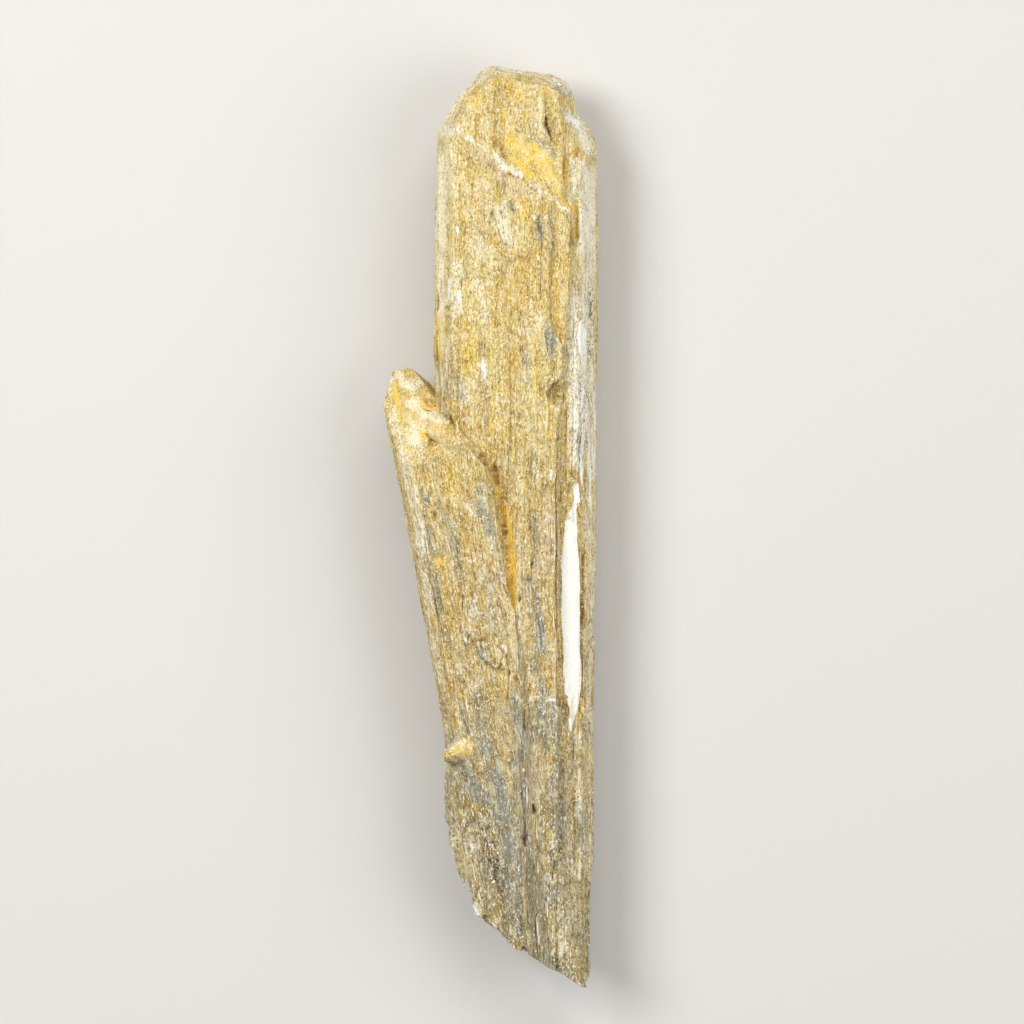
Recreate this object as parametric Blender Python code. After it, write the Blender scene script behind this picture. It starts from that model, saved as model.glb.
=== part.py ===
"""A stibnite specimen altered to straw-yellow antimony ochre: a long striated prism, and a smaller
prism grown on its left side at a narrow angle. The two are one intergrown solid, broken off
slantwise at the foot. The specimen lies on its back.

Frame: metres, +Y along the main prism towards its tip, +X to the right as one looks down on the
front, +Z up from the back face that it rests on. The origin is the middle of its bounding box, at z = 0.
Sizes below are in millimetres and angles in degrees. Points are (x, y) on the plan, or (x, z) on
a cross-section. A facet is a point on it and the way it faces: a plan bearing and a lift.
"""

import math
import random

import bmesh
import bpy
from mathutils import Matrix, Vector

MM = 0.001
NODE = "stibnite_crystals"
STRAW = (0.66, 0.50, 0.25, 1.0)
SEED = 23
FLAT = Matrix.Identity(4)

# The main prism: a section flattened front to back, drawn out along Y and then cut to length.
LENGTH = 130.0
TIP_Y = LENGTH / 2
STRETCH = 75.0
FRONT_Z = 14.0
RIDGE_Z = 7.4
ROOT_Z = 10.0
LEAN = 0.5
CORE_SECTION = [(-7.9, 8.6), (-6.9, 12.6), (-5.7, 13.7), (9.8, FRONT_Z), (13.2, 10.4),
                (12.9, 4.4), (9.6, 0.0), (-3.4, 0.0), (-7.2, 3.6)]
TIP_OUTLINE = [((-6.0, 58.0), 152), ((-4.1, 61.0), 139), ((-1.1, 64.5), 113), ((0.3, TIP_Y), 82),
               ((9.3, 63.7), 60), ((10.9, 62.8), 36), ((12.1, 60.2), 12)]
TIP_FRONT_LIFT = 19
TIP_BACK_LIFT = -34
CORE_LEFT_BREAK = ((-8.2, -17.0, RIDGE_Z), 190.3, -4)

# The prism that makes the right-hand edge, and the lath on its front that stops short of its tip.
COLUMN_SECTION = [(8.2, 13.2), (9.9, 13.6), (13.0, 12.2), (14.6, 9.2), (14.5, 5.9), (11.6, 1.2), (8.0, 1.4)]
COLUMN_TIP = [((13.9, 54.8, 9.4), 25, 32), ((12.8, 56.9, 9.4), 62, 12), ((13.9, 54.8, 7.0), 24, -32)]
COLUMN_FRONT = [(11.7, 60.0), (14.3, 60.0), (14.1, 30.0), (13.9, 0.0), (13.2, -75.0), (9.2, -75.0),
                (9.6, 37.0), (11.3, 38.6), (12.7, 40.0), (12.5, 45.6), (11.7, 46.8)]
COLUMN_FRONT_BLANK_Z = 14.2
COLUMN_FRONT_SLOPES = [((9.9, 0.0, 14.1), 0, 71), ((13.0, 0.0, 12.9), 0, 32)]
COLUMN_FRONT_SECTION = [(10.0, 14.1), (12.9, 13.1)]
COLUMN_FRONT_END = ((14.2, 51.2, 12.0), 64, 38)

# Two sheets on the front. Their upper ends make the slanting double ledge under the tip, and the
# right edge of the upper sheet has a bite out of it.
SHEET_A_Z = FRONT_Z + 1.2
SHEET_B_Z = FRONT_Z + 1.7
SHEET_A = [(-7.3, 70.0), (11.5, 70.0), (11.5, 36.0), (10.6, 24.0), (9.9, 15.0), (9.6, -25.0), (9.2, -75.0),
           (5.2, -75.0), (4.6, -30.0), (2.6, -12.0), (-7.6, 16.0)]
SHEET_B = [(-6.9, 70.0), (6.9, 70.0), (6.7, 42.3), (7.1, 30.4), (8.1, 28.8), (9.5, 26.1), (10.4, 25.0),
           (10.4, 21.9), (9.5, 20.0), (8.1, 18.5), (8.3, 17.0), (9.8, 16.1), (9.4, 14.0), (9.5, -25.0),
           (9.0, -75.0), (5.6, -75.0), (4.9, -30.0), (3.0, -12.0), (-6.9, 15.0)]
LEDGE = [(-6.1, 56.9), (11.6, 45.1)]
INNER_LEDGE_DROP = 2.9
INNER_LEDGE_TURN = 2
LEDGE_SLOPE = 46
SHEET_ROOT_Z = 11.0
SHEET_CORNERS = [((-6.2, 58.0, RIDGE_Z), 152, 19), ((-4.7, 60.9, RIDGE_Z), 138, 19),
                 ((-7.4, 54.6, 11.0), 140, 16), ((-7.3, 40.0, 13.1), 180, 38)]

# The small crystals under the tip.
TILE = [(2.4, 53.2), (5.0, 56.1), (10.4, 51.8), (10.4, 46.0), (8.0, 46.0), (2.6, 50.0)]
TILE_BLANK_Z = FRONT_Z + 2.5
TILE_FACETS = [((8.0, 48.4, SHEET_A_Z - 0.3), 52, 80), ((4.0, 55.3, FRONT_Z + 0.3), 112, 48)]
PLATE = [(7.8, 60.2), (9.8, 60.8), (10.3, 55.2), (8.8, 54.6)]
PLATE_Z = FRONT_Z + 0.5

# The side prism, in its own frame: x across, y towards its tip, z out of its front. Its facets
# are in the frame of the whole.
SIDE_AT = Vector((-5.9, 4.7, 11.1))
SIDE_LEAN = 10.4
SIDE_PITCH = 2.2
SIDE_SECTION = [(-6.5, 2.0), (-5.7, 4.4), (-4.6, 5.4), (5.8, 6.1), (6.5, 5.2), (5.8, -4.4), (2.2, -6.6),
                (-3.4, -5.8), (-6.8, -1.6)]
SIDE_FACE = ((-6.0, 9.1, 17.2), 112, 57)
SIDE_TIP = [((0.0, 6.6, 14.5), 18, 4), ((-6.0, 15.2, 12.0), 40, 8), ((-9.7, 20.6, 9.0), 55, 14),
            ((-13.0, 21.9, 8.0), 92, 18), ((-14.7, 22.1, 8.0), 128, 14), ((-15.4, 20.8, 8.0), 165, 10),
            ((-12.0, 21.6, 7.5), 95, -42)]
FLAKE = [(-1.7, -9.5), (-2.8, -12.6), (-3.1, -15.2), (-1.1, -18.7), (1.0, -20.6), (2.1, -16.6), (1.1, -10.9)]
FLAKE_Z = 16.9
CHIP_AT = (-4.4, -32.4, 14.0)
CHIP_RADII = (2.4, 1.5, 2.3)
CHIP_BEARING = 20

# The low mass left of the foot, and the slanting breaks that end the specimen there.
HEEL_SECTION = [(-6.3, 5.4), (-5.9, 10.8), (-4.4, 13.0), (3.0, 14.4), (3.0, 2.0), (-4.6, 2.6)]
HEEL_TOP = ((-4.0, -27.5, 13.0), 108, 30)
FOOT_BREAKS = [((5.0, -59.5, FRONT_Z), 236, -16), ((-3.4, -49.2, FRONT_Z - 3), 198, -6)]
FOOT_RODS = 26
ROD_X = (-1.5, 12.0)
ROD_Z = (4.0, 12.5)
ROD_WIDTH = (1.6, 3.6)
ROD_TOP_Y = -50.0
PAST_FOOT = -85.0

# Laths are low ridges along a prism's faces, and vugs are small holes in them. Each size is (least, most).
LATH_WIDTH = (0.7, 2.2)
LATH_HEIGHT = (0.14, 0.40)
LATH_LENGTH = (12.0, 50.0)
LATHS_ABOVE_Z = 0.15
VUG_LOWEST_Y = -50.0
VUG_HALF_WIDTH = (0.25, 0.55)
VUG_HALF_LENGTH = (0.5, 1.5)
VUG_DEPTH = 0.6
VUG_RISE = 0.3
TIP_FRONT_SECTION = [(-4.6, 13.8), (8.6, FRONT_Z)]
SHEET_LEFT_SECTION = [(-6.2, SHEET_B_Z), (2.2, SHEET_B_Z)]
SHEET_MIDDLE_SECTION = [(-2.0, SHEET_B_Z), (8.7, SHEET_B_Z)]
SHEET_RIGHT_SECTION = [(3.0, SHEET_B_Z), (8.9, SHEET_B_Z)]

# Where the laths lie: a section, the corner its face starts at, the span along Y, laths and vugs.
MAIN_FACES = [(TIP_FRONT_SECTION, 0, 44.0, 62.0, 9, 4), (SHEET_LEFT_SECTION, 0, 15.0, 50.0, 14, 4),
              (SHEET_MIDDLE_SECTION, 0, 0.0, 45.0, 16, 4), (SHEET_RIGHT_SECTION, 0, PAST_FOOT, 18.0, 22, 7),
              (COLUMN_FRONT_SECTION, 0, PAST_FOOT, 36.0, 10, 5), (COLUMN_SECTION, 2, PAST_FOOT, 49.0, 8, 2),
              (COLUMN_SECTION, 3, PAST_FOOT, 49.0, 7, 0), (COLUMN_SECTION, 4, PAST_FOOT, 49.0, 11, 3),
              (CORE_SECTION, 7, -16.0, 51.0, 8, 0), (CORE_SECTION, 8, -14.0, 51.0, 6, 0),
              (CORE_SECTION, 0, -12.0, 50.0, 5, 0), (CORE_SECTION, 8, 24.0, 50.0, 2, 3),
              (CORE_SECTION, 0, 22.0, 50.0, 2, 5)]
SIDE_FACES = [(SIDE_SECTION, 0, PAST_FOOT, 6.0, 5, 0), (SIDE_SECTION, 2, PAST_FOOT, -20.0, 20, 4),
              (SIDE_SECTION, 2, -40.0, 2.5, 18, 4), (SIDE_SECTION, 4, -12.0, 4.0, 5, 0),
              (SIDE_SECTION, 6, -40.0, 8.0, 6, 0), (SIDE_SECTION, 7, -40.0, 8.0, 8, 0)]
HEEL_FACES = [(HEEL_SECTION, 0, -46.0, -30.0, 4, 1), (HEEL_SECTION, 1, PAST_FOOT, -33.0, 5, 2),
              (HEEL_SECTION, 2, PAST_FOOT, -36.0, 6, 0)]

# Cuts. The cleft parts the side prism from the main one; a groove is a list of (x, y, z, radius).
CLEFT = [(0.9, 8.0, 17.0, 2.6), (2.3, -3.0, 16.3, 1.7), (3.7, -12.5, 16.4, 0.8)]
CRACK = [(-1.8, -19.6, 16.2, 0.5), (1.4, -20.6, 16.2, 0.8), (3.6, -21.5, 16.3, 0.8), (4.5, -24.0, 16.3, 0.7),
         (4.3, -29.0, 16.3, 0.4)]
COLUMN_GROOVE = [(12.9, 3.0, 13.9, 0.7), (13.0, -12.0, 13.9, 1.2), (12.5, -29.0, 13.9, 0.6)]
PITS = [((8.3, 55.8, 14.3), (0.7, 1.7, 1.6), 23), ((-8.5, 17.0, 11.6), (1.0, 0.6, 0.8), -35),
        ((-8.0, 11.4, 15.0), (1.2, 0.8, 0.9), -35), ((9.2, 18.1, 15.6), (1.3, 1.7, 1.9), 10)]


def clear_scene():
    for obj in list(bpy.data.objects):
        bpy.data.objects.remove(obj)


def new_collection(name):
    made = bpy.data.collections.new(name)
    bpy.context.scene.collection.children.link(made)
    return made


def heading(bearing, lift):
    """The unit vector that points along this plan bearing, and this far up from it."""
    turn, rise = math.radians(bearing), math.radians(lift)
    return Vector((math.cos(turn) * math.cos(rise), math.sin(turn) * math.cos(rise), math.sin(rise)))


def face_out(bm):
    """Turns every face outwards. A slender solid can come out wholly reversed, which its volume shows."""
    bmesh.ops.recalc_face_normals(bm, faces=bm.faces[:])
    if bm.calc_volume(signed=True) < 0:
        bmesh.ops.reverse_faces(bm, faces=bm.faces[:])


def object_from(bm, name, home):
    """Makes finished mesh code an object of its own, flat-faced."""
    face_out(bm)
    for face in bm.faces:
        face.smooth = False
    mesh = bpy.data.meshes.new(name)
    bm.to_mesh(mesh)
    bm.free()
    obj = bpy.data.objects.new(name, mesh)
    home.objects.link(obj)
    return obj


def extruded(name, outline, low, high, lay, home):
    """A flat outline made solid from low to high along its own Z, and laid in place by a matrix."""
    curve = bpy.data.curves.new(name, "CURVE")
    curve.dimensions = "2D"
    curve.fill_mode = "BOTH"
    curve.extrude = (high - low) / 2 * MM
    spline = curve.splines.new("POLY")
    spline.points.add(len(outline) - 1)
    for point, (x, y) in zip(spline.points, outline):
        point.co = (x * MM, y * MM, 0.0, 1.0)
    spline.use_cyclic_u = True
    flat = bpy.data.objects.new(name + "_outline", curve)
    home.objects.link(flat)
    bpy.context.view_layer.update()
    mesh = bpy.data.meshes.new_from_object(flat.evaluated_get(bpy.context.evaluated_depsgraph_get()))
    bpy.data.objects.remove(flat)
    bm = bmesh.new()
    bm.from_mesh(mesh)
    bpy.data.meshes.remove(mesh)
    bmesh.ops.remove_doubles(bm, verts=bm.verts[:], dist=0.01 * MM)
    bm.transform(lay @ moved((0, 0, (low + high) / 2)))
    return object_from(bm, name, home)


def prism(name, section, lay, home):
    """A section drawn as (x, z), made solid along the Y of the frame that lays it in place."""
    return extruded(name, section, -STRETCH, STRETCH, lay @ turned(90, "X"), home)


def cut_away(obj, at, bearing, lift):
    """Slices off what lies beyond a facet, and closes the cut with one flat face."""
    bm = bmesh.new()
    bm.from_mesh(obj.data)
    everything = bm.verts[:] + bm.edges[:] + bm.faces[:]
    sliced = bmesh.ops.bisect_plane(
        bm, geom=everything, plane_co=Vector(at) * MM, plane_no=heading(bearing, lift), clear_outer=True)
    rim = [item for item in sliced["geom_cut"] if isinstance(item, bmesh.types.BMEdge)]
    if rim:
        bmesh.ops.edgeloop_fill(bm, edges=rim)
    face_out(bm)
    bm.to_mesh(obj.data)
    bm.free()


def break_foot(obj, beyond):
    """Snaps the foot off along the slanting breaks, this far beyond them."""
    for at, bearing, lift in FOOT_BREAKS:
        cut_away(obj, Vector(at) + heading(bearing, lift) * beyond, bearing, lift)


def turned(degrees, axis):
    return Matrix.Rotation(math.radians(degrees), 4, axis)


def moved(at):
    return Matrix.Translation(Vector(at) * MM)


def face_frame(section, corner, lay):
    """The side of a prism that starts at this corner: its frame (x across, y along, z out), and its width."""
    (x0, z0), (x1, z1) = section[corner], section[(corner + 1) % len(section)]
    across = Vector((x1 - x0, 0, z1 - z0)).normalized()
    along = Vector((0, 1, 0))
    frame = Matrix((across, along, across.cross(along))).transposed().to_4x4()
    frame.translation = Vector(((x0 + x1) / 2, 0, (z0 + z1) / 2)) * MM
    return lay @ frame, math.hypot(x1 - x0, z1 - z0)


def lath(name, frame, across, span, width, height, skew, home, root=1.2):
    """A low ridge on a face. Its root is sunk, its top is narrower, and its two ends slope and slant."""
    bm = bmesh.new()
    bmesh.ops.create_cube(bm, size=2.0)
    for vert in bm.verts:
        side, way, up = vert.co
        half = width / 2 * (0.7 if up > 0 else 1.2)
        retreat = height * 2.5 if up > 0 else -root
        y = span[1] - retreat if way > 0 else span[0] + retreat
        vert.co = Vector((across + side * half, y + side * skew, height if up > 0 else -root)) * MM
    bm.transform(frame)
    return object_from(bm, name, home)


def lump(name, lay, radii, roughness, chance, home, subdivisions=1):
    """An angular lump: a coarse ball pulled about by chance, squashed, and laid in place by a matrix."""
    bm = bmesh.new()
    bmesh.ops.create_icosphere(bm, subdivisions=subdivisions, radius=1.0)
    for vert in bm.verts:
        vert.co *= 1 + chance.uniform(-roughness, roughness)
    bm.transform(lay @ Matrix.Diagonal((*(radius * MM for radius in radii), 1)))
    return object_from(bm, name, home)


def main_prism(home):
    """The body of the main crystal, with a front and a back facet for each side of its tip."""
    core = prism("core", CORE_SECTION, turned(-LEAN, "Z"), home)
    for (x, y), bearing in TIP_OUTLINE:
        cut_away(core, (x, y, RIDGE_Z), bearing, TIP_FRONT_LIFT)
        cut_away(core, (x, y, RIDGE_Z), bearing, TIP_BACK_LIFT)
    cut_away(core, *CORE_LEFT_BREAK)
    break_foot(core, 0.0)
    return core


def right_column(home):
    column = prism("column", COLUMN_SECTION, turned(-LEAN, "Z"), home)
    for facet in COLUMN_TIP:
        cut_away(column, *facet)
    break_foot(column, 0.5)
    front = extruded("column_front", COLUMN_FRONT, ROOT_Z, COLUMN_FRONT_BLANK_Z, FLAT, home)
    for facet in COLUMN_FRONT_SLOPES + [COLUMN_FRONT_END]:
        cut_away(front, *facet)
    break_foot(front, -0.4)


def front_sheets(home):
    (x0, y0), (x1, y1) = LEDGE
    uphill = math.degrees(math.atan2(x1 - x0, y0 - y1))
    sheet_a = extruded("sheet_a", SHEET_A, SHEET_ROOT_Z, SHEET_A_Z, FLAT, home)
    cut_away(sheet_a, (x1, y1, FRONT_Z), uphill, LEDGE_SLOPE)
    sheet_b = extruded("sheet_b", SHEET_B, SHEET_ROOT_Z, SHEET_B_Z, FLAT, home)
    cut_away(sheet_b, (x1, y1 - INNER_LEDGE_DROP, FRONT_Z), uphill + INNER_LEDGE_TURN, LEDGE_SLOPE)
    for sheet, beyond in ((sheet_a, -0.3), (sheet_b, 0.3)):
        for corner in SHEET_CORNERS:
            cut_away(sheet, *corner)
        break_foot(sheet, beyond)


def tip_crystals(home):
    tile = extruded("tile", TILE, ROOT_Z, TILE_BLANK_Z, FLAT, home)
    for facet in TILE_FACETS:
        cut_away(tile, *facet)
    extruded("plate", PLATE, ROOT_Z, PLATE_Z, FLAT, home)


def side_prism(chance, home):
    """The smaller crystal on the left, with one broad tip facet that faces forward, and what clings to it."""
    lay = moved(SIDE_AT) @ turned(SIDE_LEAN, "Z") @ turned(SIDE_PITCH, "X")
    side = prism("side", SIDE_SECTION, lay, home)
    for facet in [SIDE_FACE] + SIDE_TIP:
        cut_away(side, *facet)
    break_foot(side, 0.4)
    heel = prism("heel", HEEL_SECTION, FLAT, home)
    cut_away(heel, *HEEL_TOP)
    break_foot(heel, 0.0)
    extruded("flake", FLAKE, ROOT_Z, FLAKE_Z, FLAT, home)
    lump("chip", moved(CHIP_AT) @ turned(CHIP_BEARING, "Z"), CHIP_RADII, 0.16, chance, home, subdivisions=2)
    return lay


def lay_laths(name, place, reach, count, chance, home):
    """Lays this many laths on a face of that frame and width, between two places along it."""
    frame, width = place
    for number in range(count):
        size = chance.uniform(*LATH_WIDTH)
        across = chance.uniform(-0.5, 0.5) * max(width - size, 0.0)
        start = chance.uniform(reach[0], reach[1] - LATH_LENGTH[0])
        end = min(start + chance.uniform(*LATH_LENGTH), reach[1] - chance.uniform(0, 6))
        height = chance.uniform(*LATH_HEIGHT)
        skew = chance.uniform(-1, 1)
        made = lath(f"{name}_lath_{number}", frame, across, (start, end), size, height, skew, home)
        break_foot(made, chance.uniform(-0.6, 0.9))
        cut_away(made, (0, 0, LATHS_ABOVE_Z), 0, -90)


def sink_vugs(name, place, reach, count, chance, home):
    """Sinks this many small holes in a face, each longer along the prism than across it."""
    frame, width = place
    for number in range(count):
        y = chance.uniform(max(reach[0], VUG_LOWEST_Y), reach[1])
        at = (chance.uniform(-0.45, 0.45) * width, y, VUG_RISE)
        radii = (chance.uniform(*VUG_HALF_WIDTH), chance.uniform(*VUG_HALF_LENGTH), VUG_DEPTH + VUG_RISE)
        lump(f"{name}_vug_{number}", frame @ moved(at), radii, 0.2, chance, home)


def dress_faces(side_lay, chance, growths, cutters):
    """Striates and pits every face but the one that the specimen rests on."""
    for group, lay, faces in (("main", turned(-LEAN, "Z"), MAIN_FACES), ("side", side_lay, SIDE_FACES),
                              ("heel", FLAT, HEEL_FACES)):
        for number, (section, corner, low, high, laths, vugs) in enumerate(faces):
            place = face_frame(section, corner, lay)
            lay_laths(f"{group}_{number}", place, (low, high), laths, chance, growths)
            sink_vugs(f"{group}_{number}", place, (low, high), vugs, chance, cutters)


def foot_rods(chance, home):
    """Rods inside the prisms that show where the foot snapped, each at its own length."""
    for number in range(FOOT_RODS):
        frame = moved((chance.uniform(*ROD_X), 0, chance.uniform(*ROD_Z)))
        size = chance.uniform(*ROD_WIDTH)
        rod = lath(f"rod_{number}", frame, 0, (PAST_FOOT, ROD_TOP_Y), size, size / 3, 0, home)
        break_foot(rod, chance.uniform(0.2, 1.3))


def grooves(name, route, home):
    """A cutter along a route: three-sided bars, each with its edge down and its own radius at each end."""
    for number, (low, high) in enumerate(zip(route, route[1:])):
        start, end = Vector(low[:3]), Vector(high[:3])
        way = end - start
        bm = bmesh.new()
        bmesh.ops.create_cone(bm, cap_ends=True, segments=3, radius1=low[3] * MM, radius2=high[3] * MM,
                              depth=way.length * MM)
        edge_down = way.to_track_quat("Z", "Y").to_matrix().to_4x4() @ turned(180, "Z")
        bm.transform(moved((start + end) / 2) @ edge_down)
        object_from(bm, f"{name}_{number}", home)


def cut_outs(chance, home):
    grooves("cleft", CLEFT, home)
    grooves("crack", CRACK, home)
    grooves("column_groove", COLUMN_GROOVE, home)
    for number, (at, radii, bearing) in enumerate(PITS):
        lump(f"pit_{number}", moved(at) @ turned(bearing, "Z"), radii, 0.12, chance, home, subdivisions=2)


def combine(core, operation, helpers):
    """Joins or cuts with every helper in a collection, one at a time.

    The solver is MANIFOLD, because EXACT leaves open edges where so many laths overlap. A lath that
    lay wholly beyond the foot has nothing left, and is dropped.
    """
    for helper in list(helpers.objects):
        if not helper.data.polygons:
            bpy.data.objects.remove(helper)
            continue
        helper.hide_render = True
        helper.display_type = "WIRE"
        step = core.modifiers.new(helper.name, "BOOLEAN")
        step.operation = operation
        step.solver = "MANIFOLD"
        step.object = helper


def outer_shell(core):
    """Bakes the Booleans, and keeps the outside: no sliver that a cut left loose, no sealed pocket."""
    bpy.context.view_layer.update()
    baked = bpy.data.meshes.new_from_object(core.evaluated_get(bpy.context.evaluated_depsgraph_get()))
    core.modifiers.clear()
    core.data = baked
    bm = bmesh.new()
    bm.from_mesh(baked)
    unseen = set(bm.verts)
    shells = []
    while unseen:
        edge_of_search = [unseen.pop()]
        shell = set(edge_of_search)
        while edge_of_search:
            vert = edge_of_search.pop()
            near = {edge.other_vert(vert) for edge in vert.link_edges} & unseen
            unseen -= near
            shell |= near
            edge_of_search.extend(near)
        shells.append(shell)
    shells.sort(key=len)
    for shell in shells[:-1]:
        bmesh.ops.delete(bm, geom=list(shell), context="VERTS")
    for face in bm.faces:
        face.material_index = 0
    bm.to_mesh(baked)
    bm.free()
    baked.materials.clear()


def antimony_ochre():
    material = bpy.data.materials.new("antimony_ochre")
    material.use_nodes = True
    shader = material.node_tree.nodes["Principled BSDF"]
    shader.inputs["Base Color"].default_value = STRAW
    shader.inputs["Roughness"].default_value = 0.7
    return material


def make_specimen():
    clear_scene()
    home = new_collection("stibnite_specimen")
    growths = new_collection("growths")
    cutters = new_collection("cutters")
    chance = random.Random(SEED)
    core = main_prism(home)
    core.name = NODE
    right_column(growths)
    front_sheets(growths)
    tip_crystals(growths)
    side_lay = side_prism(chance, growths)
    dress_faces(side_lay, chance, growths, cutters)
    foot_rods(chance, growths)
    cut_outs(chance, cutters)
    combine(core, "UNION", growths)
    combine(core, "DIFFERENCE", cutters)
    outer_shell(core)
    core.data.materials.append(antimony_ochre())


make_specimen()
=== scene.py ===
# %% [markdown]
# # A stibnite specimen turned to antimony ochre
# Stibnite grows as long grooved prisms of grey metallic antimony sulphide. In damp, airy rock it
# slowly rusts to straw-yellow antimony oxides, which keep the crystal's shape. Here a long prism
# and a smaller one that leans on it lie on a pale table, seen from straight above.
# The plain solid comes from the CAD frame. The lesson gives it the skin of the real stone: fibres,
# seams, pits, stains, splinters and crumbs.

# %% Load the frame
import math

import bmesh
import bpy
import numpy as np
from mathutils import Matrix, Vector, noise


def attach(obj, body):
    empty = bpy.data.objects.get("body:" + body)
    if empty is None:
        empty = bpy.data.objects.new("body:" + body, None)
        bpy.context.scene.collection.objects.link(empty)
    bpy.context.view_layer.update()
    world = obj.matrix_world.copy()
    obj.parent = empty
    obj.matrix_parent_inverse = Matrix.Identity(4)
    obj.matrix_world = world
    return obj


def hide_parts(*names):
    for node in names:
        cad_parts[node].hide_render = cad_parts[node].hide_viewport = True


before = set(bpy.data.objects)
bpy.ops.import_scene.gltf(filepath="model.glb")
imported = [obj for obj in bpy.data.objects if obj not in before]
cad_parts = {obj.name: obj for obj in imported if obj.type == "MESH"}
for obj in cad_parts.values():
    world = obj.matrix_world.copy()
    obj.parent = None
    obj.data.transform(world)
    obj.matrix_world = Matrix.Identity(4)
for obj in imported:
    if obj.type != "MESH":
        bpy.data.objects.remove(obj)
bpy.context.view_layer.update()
MM = 0.001

# %% [markdown]
# The camera stands straight above, far away with a long lens, as for a picture of a flat find.
# The distance keeps the near and far ends at one scale, so lengths can be read off the picture.

# %% Camera
PICTURE_WIDTH = 145.3 * MM
CAMERA_HEIGHT = 1.0
SHARP_PLANE = 10 * MM
camera = bpy.data.objects.new("camera", bpy.data.cameras.new("camera"))
camera.location = (3.12 * MM, 1.56 * MM, CAMERA_HEIGHT)
camera.data.lens = camera.data.sensor_width * (CAMERA_HEIGHT - SHARP_PLANE) / PICTURE_WIDTH
bpy.context.scene.collection.objects.link(camera)
bpy.context.scene.camera = camera
print("lens, mm:", round(camera.data.lens))

# %% [markdown]
# Two small tools serve every node tree below. `linear` turns a colour as a painter picks it on a
# screen into the linear light that a shader reckons in. `add` puts one node in a tree, sets it and
# wires it up, and hands back the output that the next node needs.

# %% Two small tools
def linear(hex_colour):
    """A colour such as "#d9c79a" as linear red, green, blue and alpha."""
    parts = [int(hex_colour[i:i + 2], 16) / 255 for i in (1, 3, 5)]
    return [p / 12.92 if p <= 0.04045 else ((p + 0.055) / 1.055) ** 2.4 for p in parts] + [1.0]


def add(tree, kind, inputs=(), out=0, **settings):
    """Adds one node. An input's value is a number, a vector, or another node's output."""
    node = tree.nodes.new(kind)
    for name, value in settings.items():
        setattr(node, name, value)
    for key, value in dict(inputs).items():
        if isinstance(value, bpy.types.NodeSocket):
            tree.links.new(value, node.inputs[key])
        else:
            node.inputs[key].default_value = value
    return node.outputs[out] if node.outputs else node


MATH = "ShaderNodeMath"
VECTOR = "ShaderNodeVectorMath"
RANGE = "ShaderNodeMapRange"
MIX = "ShaderNodeMix"
NOISE = "ShaderNodeTexNoise"
VORONOI = "ShaderNodeTexVoronoi"
print("a straw yellow in linear light:", [round(c, 2) for c in linear("#dcc48c")])

# %% [markdown]
# The fine skin starts as a copy of the CAD solid. Its triangles are long and thin, and a thin
# triangle can't carry a groove, so the copy is made again from small equal cells (voxels). The
# stone is grooved along its length, so cells may be longer that way: the copy is squeezed along Y,
# remeshed, and stretched back. Both tips are rounded a little, as handling has worn them, and the
# very end of the long prism more, to a dome. The back is thinned, because less of it is looked at,
# but not where the two prisms part at the smaller one's tip: thinning would bridge that notch.

# %% The fine skin
CELL = 0.19 * MM
CELL_STRETCH = 2.1
# Thinning aims at this many triangles. Only the back may thin, so about 194,000 stay.
SKIN_TRIANGLES = 160_000
FRONT_FROM_Z = 7.0 * MM
TIP_FROM_Y = 54.0 * MM
DOME_FROM_Y = 59.0 * MM
DOME_EDGE = 2.0 * MM
DOME_EDGE_SHARE = 0.4
SIDE_TIP_FROM_Y = 14.0 * MM
SIDE_TIP_TO_X = -7.6 * MM
ROUNDS_OF_WEAR = {"worn": 7, "dome": 22}
NOTCH_AT = np.array((-9.0 * MM, 18.5 * MM))
NOTCH_REACH = np.array((4.0 * MM, 8.0 * MM))


def evaluated_mesh(obj):
    """The object's mesh with its modifiers worked in, and the modifiers taken off."""
    bpy.context.view_layer.update()
    graph = bpy.context.evaluated_depsgraph_get()
    made = bpy.data.meshes.new_from_object(obj.evaluated_get(graph), preserve_all_data_layers=True,
                                           depsgraph=graph)
    obj.modifiers.clear()
    return made


def numbers(elements, name, width, kind=np.float32):
    """One property of every vertex, as an array with a row for each."""
    found = np.empty(len(elements) * width, kind)
    elements.foreach_get(name, found)
    return found.reshape(-1, width)


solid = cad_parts["stibnite_crystals"]
merged = bmesh.new()
merged.from_mesh(solid.data)
bmesh.ops.remove_doubles(merged, verts=merged.verts, dist=0.002 * MM)
bmesh.ops.scale(merged, vec=(1, 1 / CELL_STRETCH, 1), verts=merged.verts)
skin_mesh = bpy.data.meshes.new("crystal_skin")
merged.to_mesh(skin_mesh)
merged.free()
skin = bpy.data.objects.new("crystal_skin", skin_mesh)
bpy.context.scene.collection.objects.link(skin)
remesh = skin.modifiers.new("cells", "REMESH")
remesh.mode = "VOXEL"
remesh.voxel_size = CELL
skin.data = evaluated_mesh(skin)
skin.data.transform(Matrix.Diagonal((1, CELL_STRETCH, 1, 1)))

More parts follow.
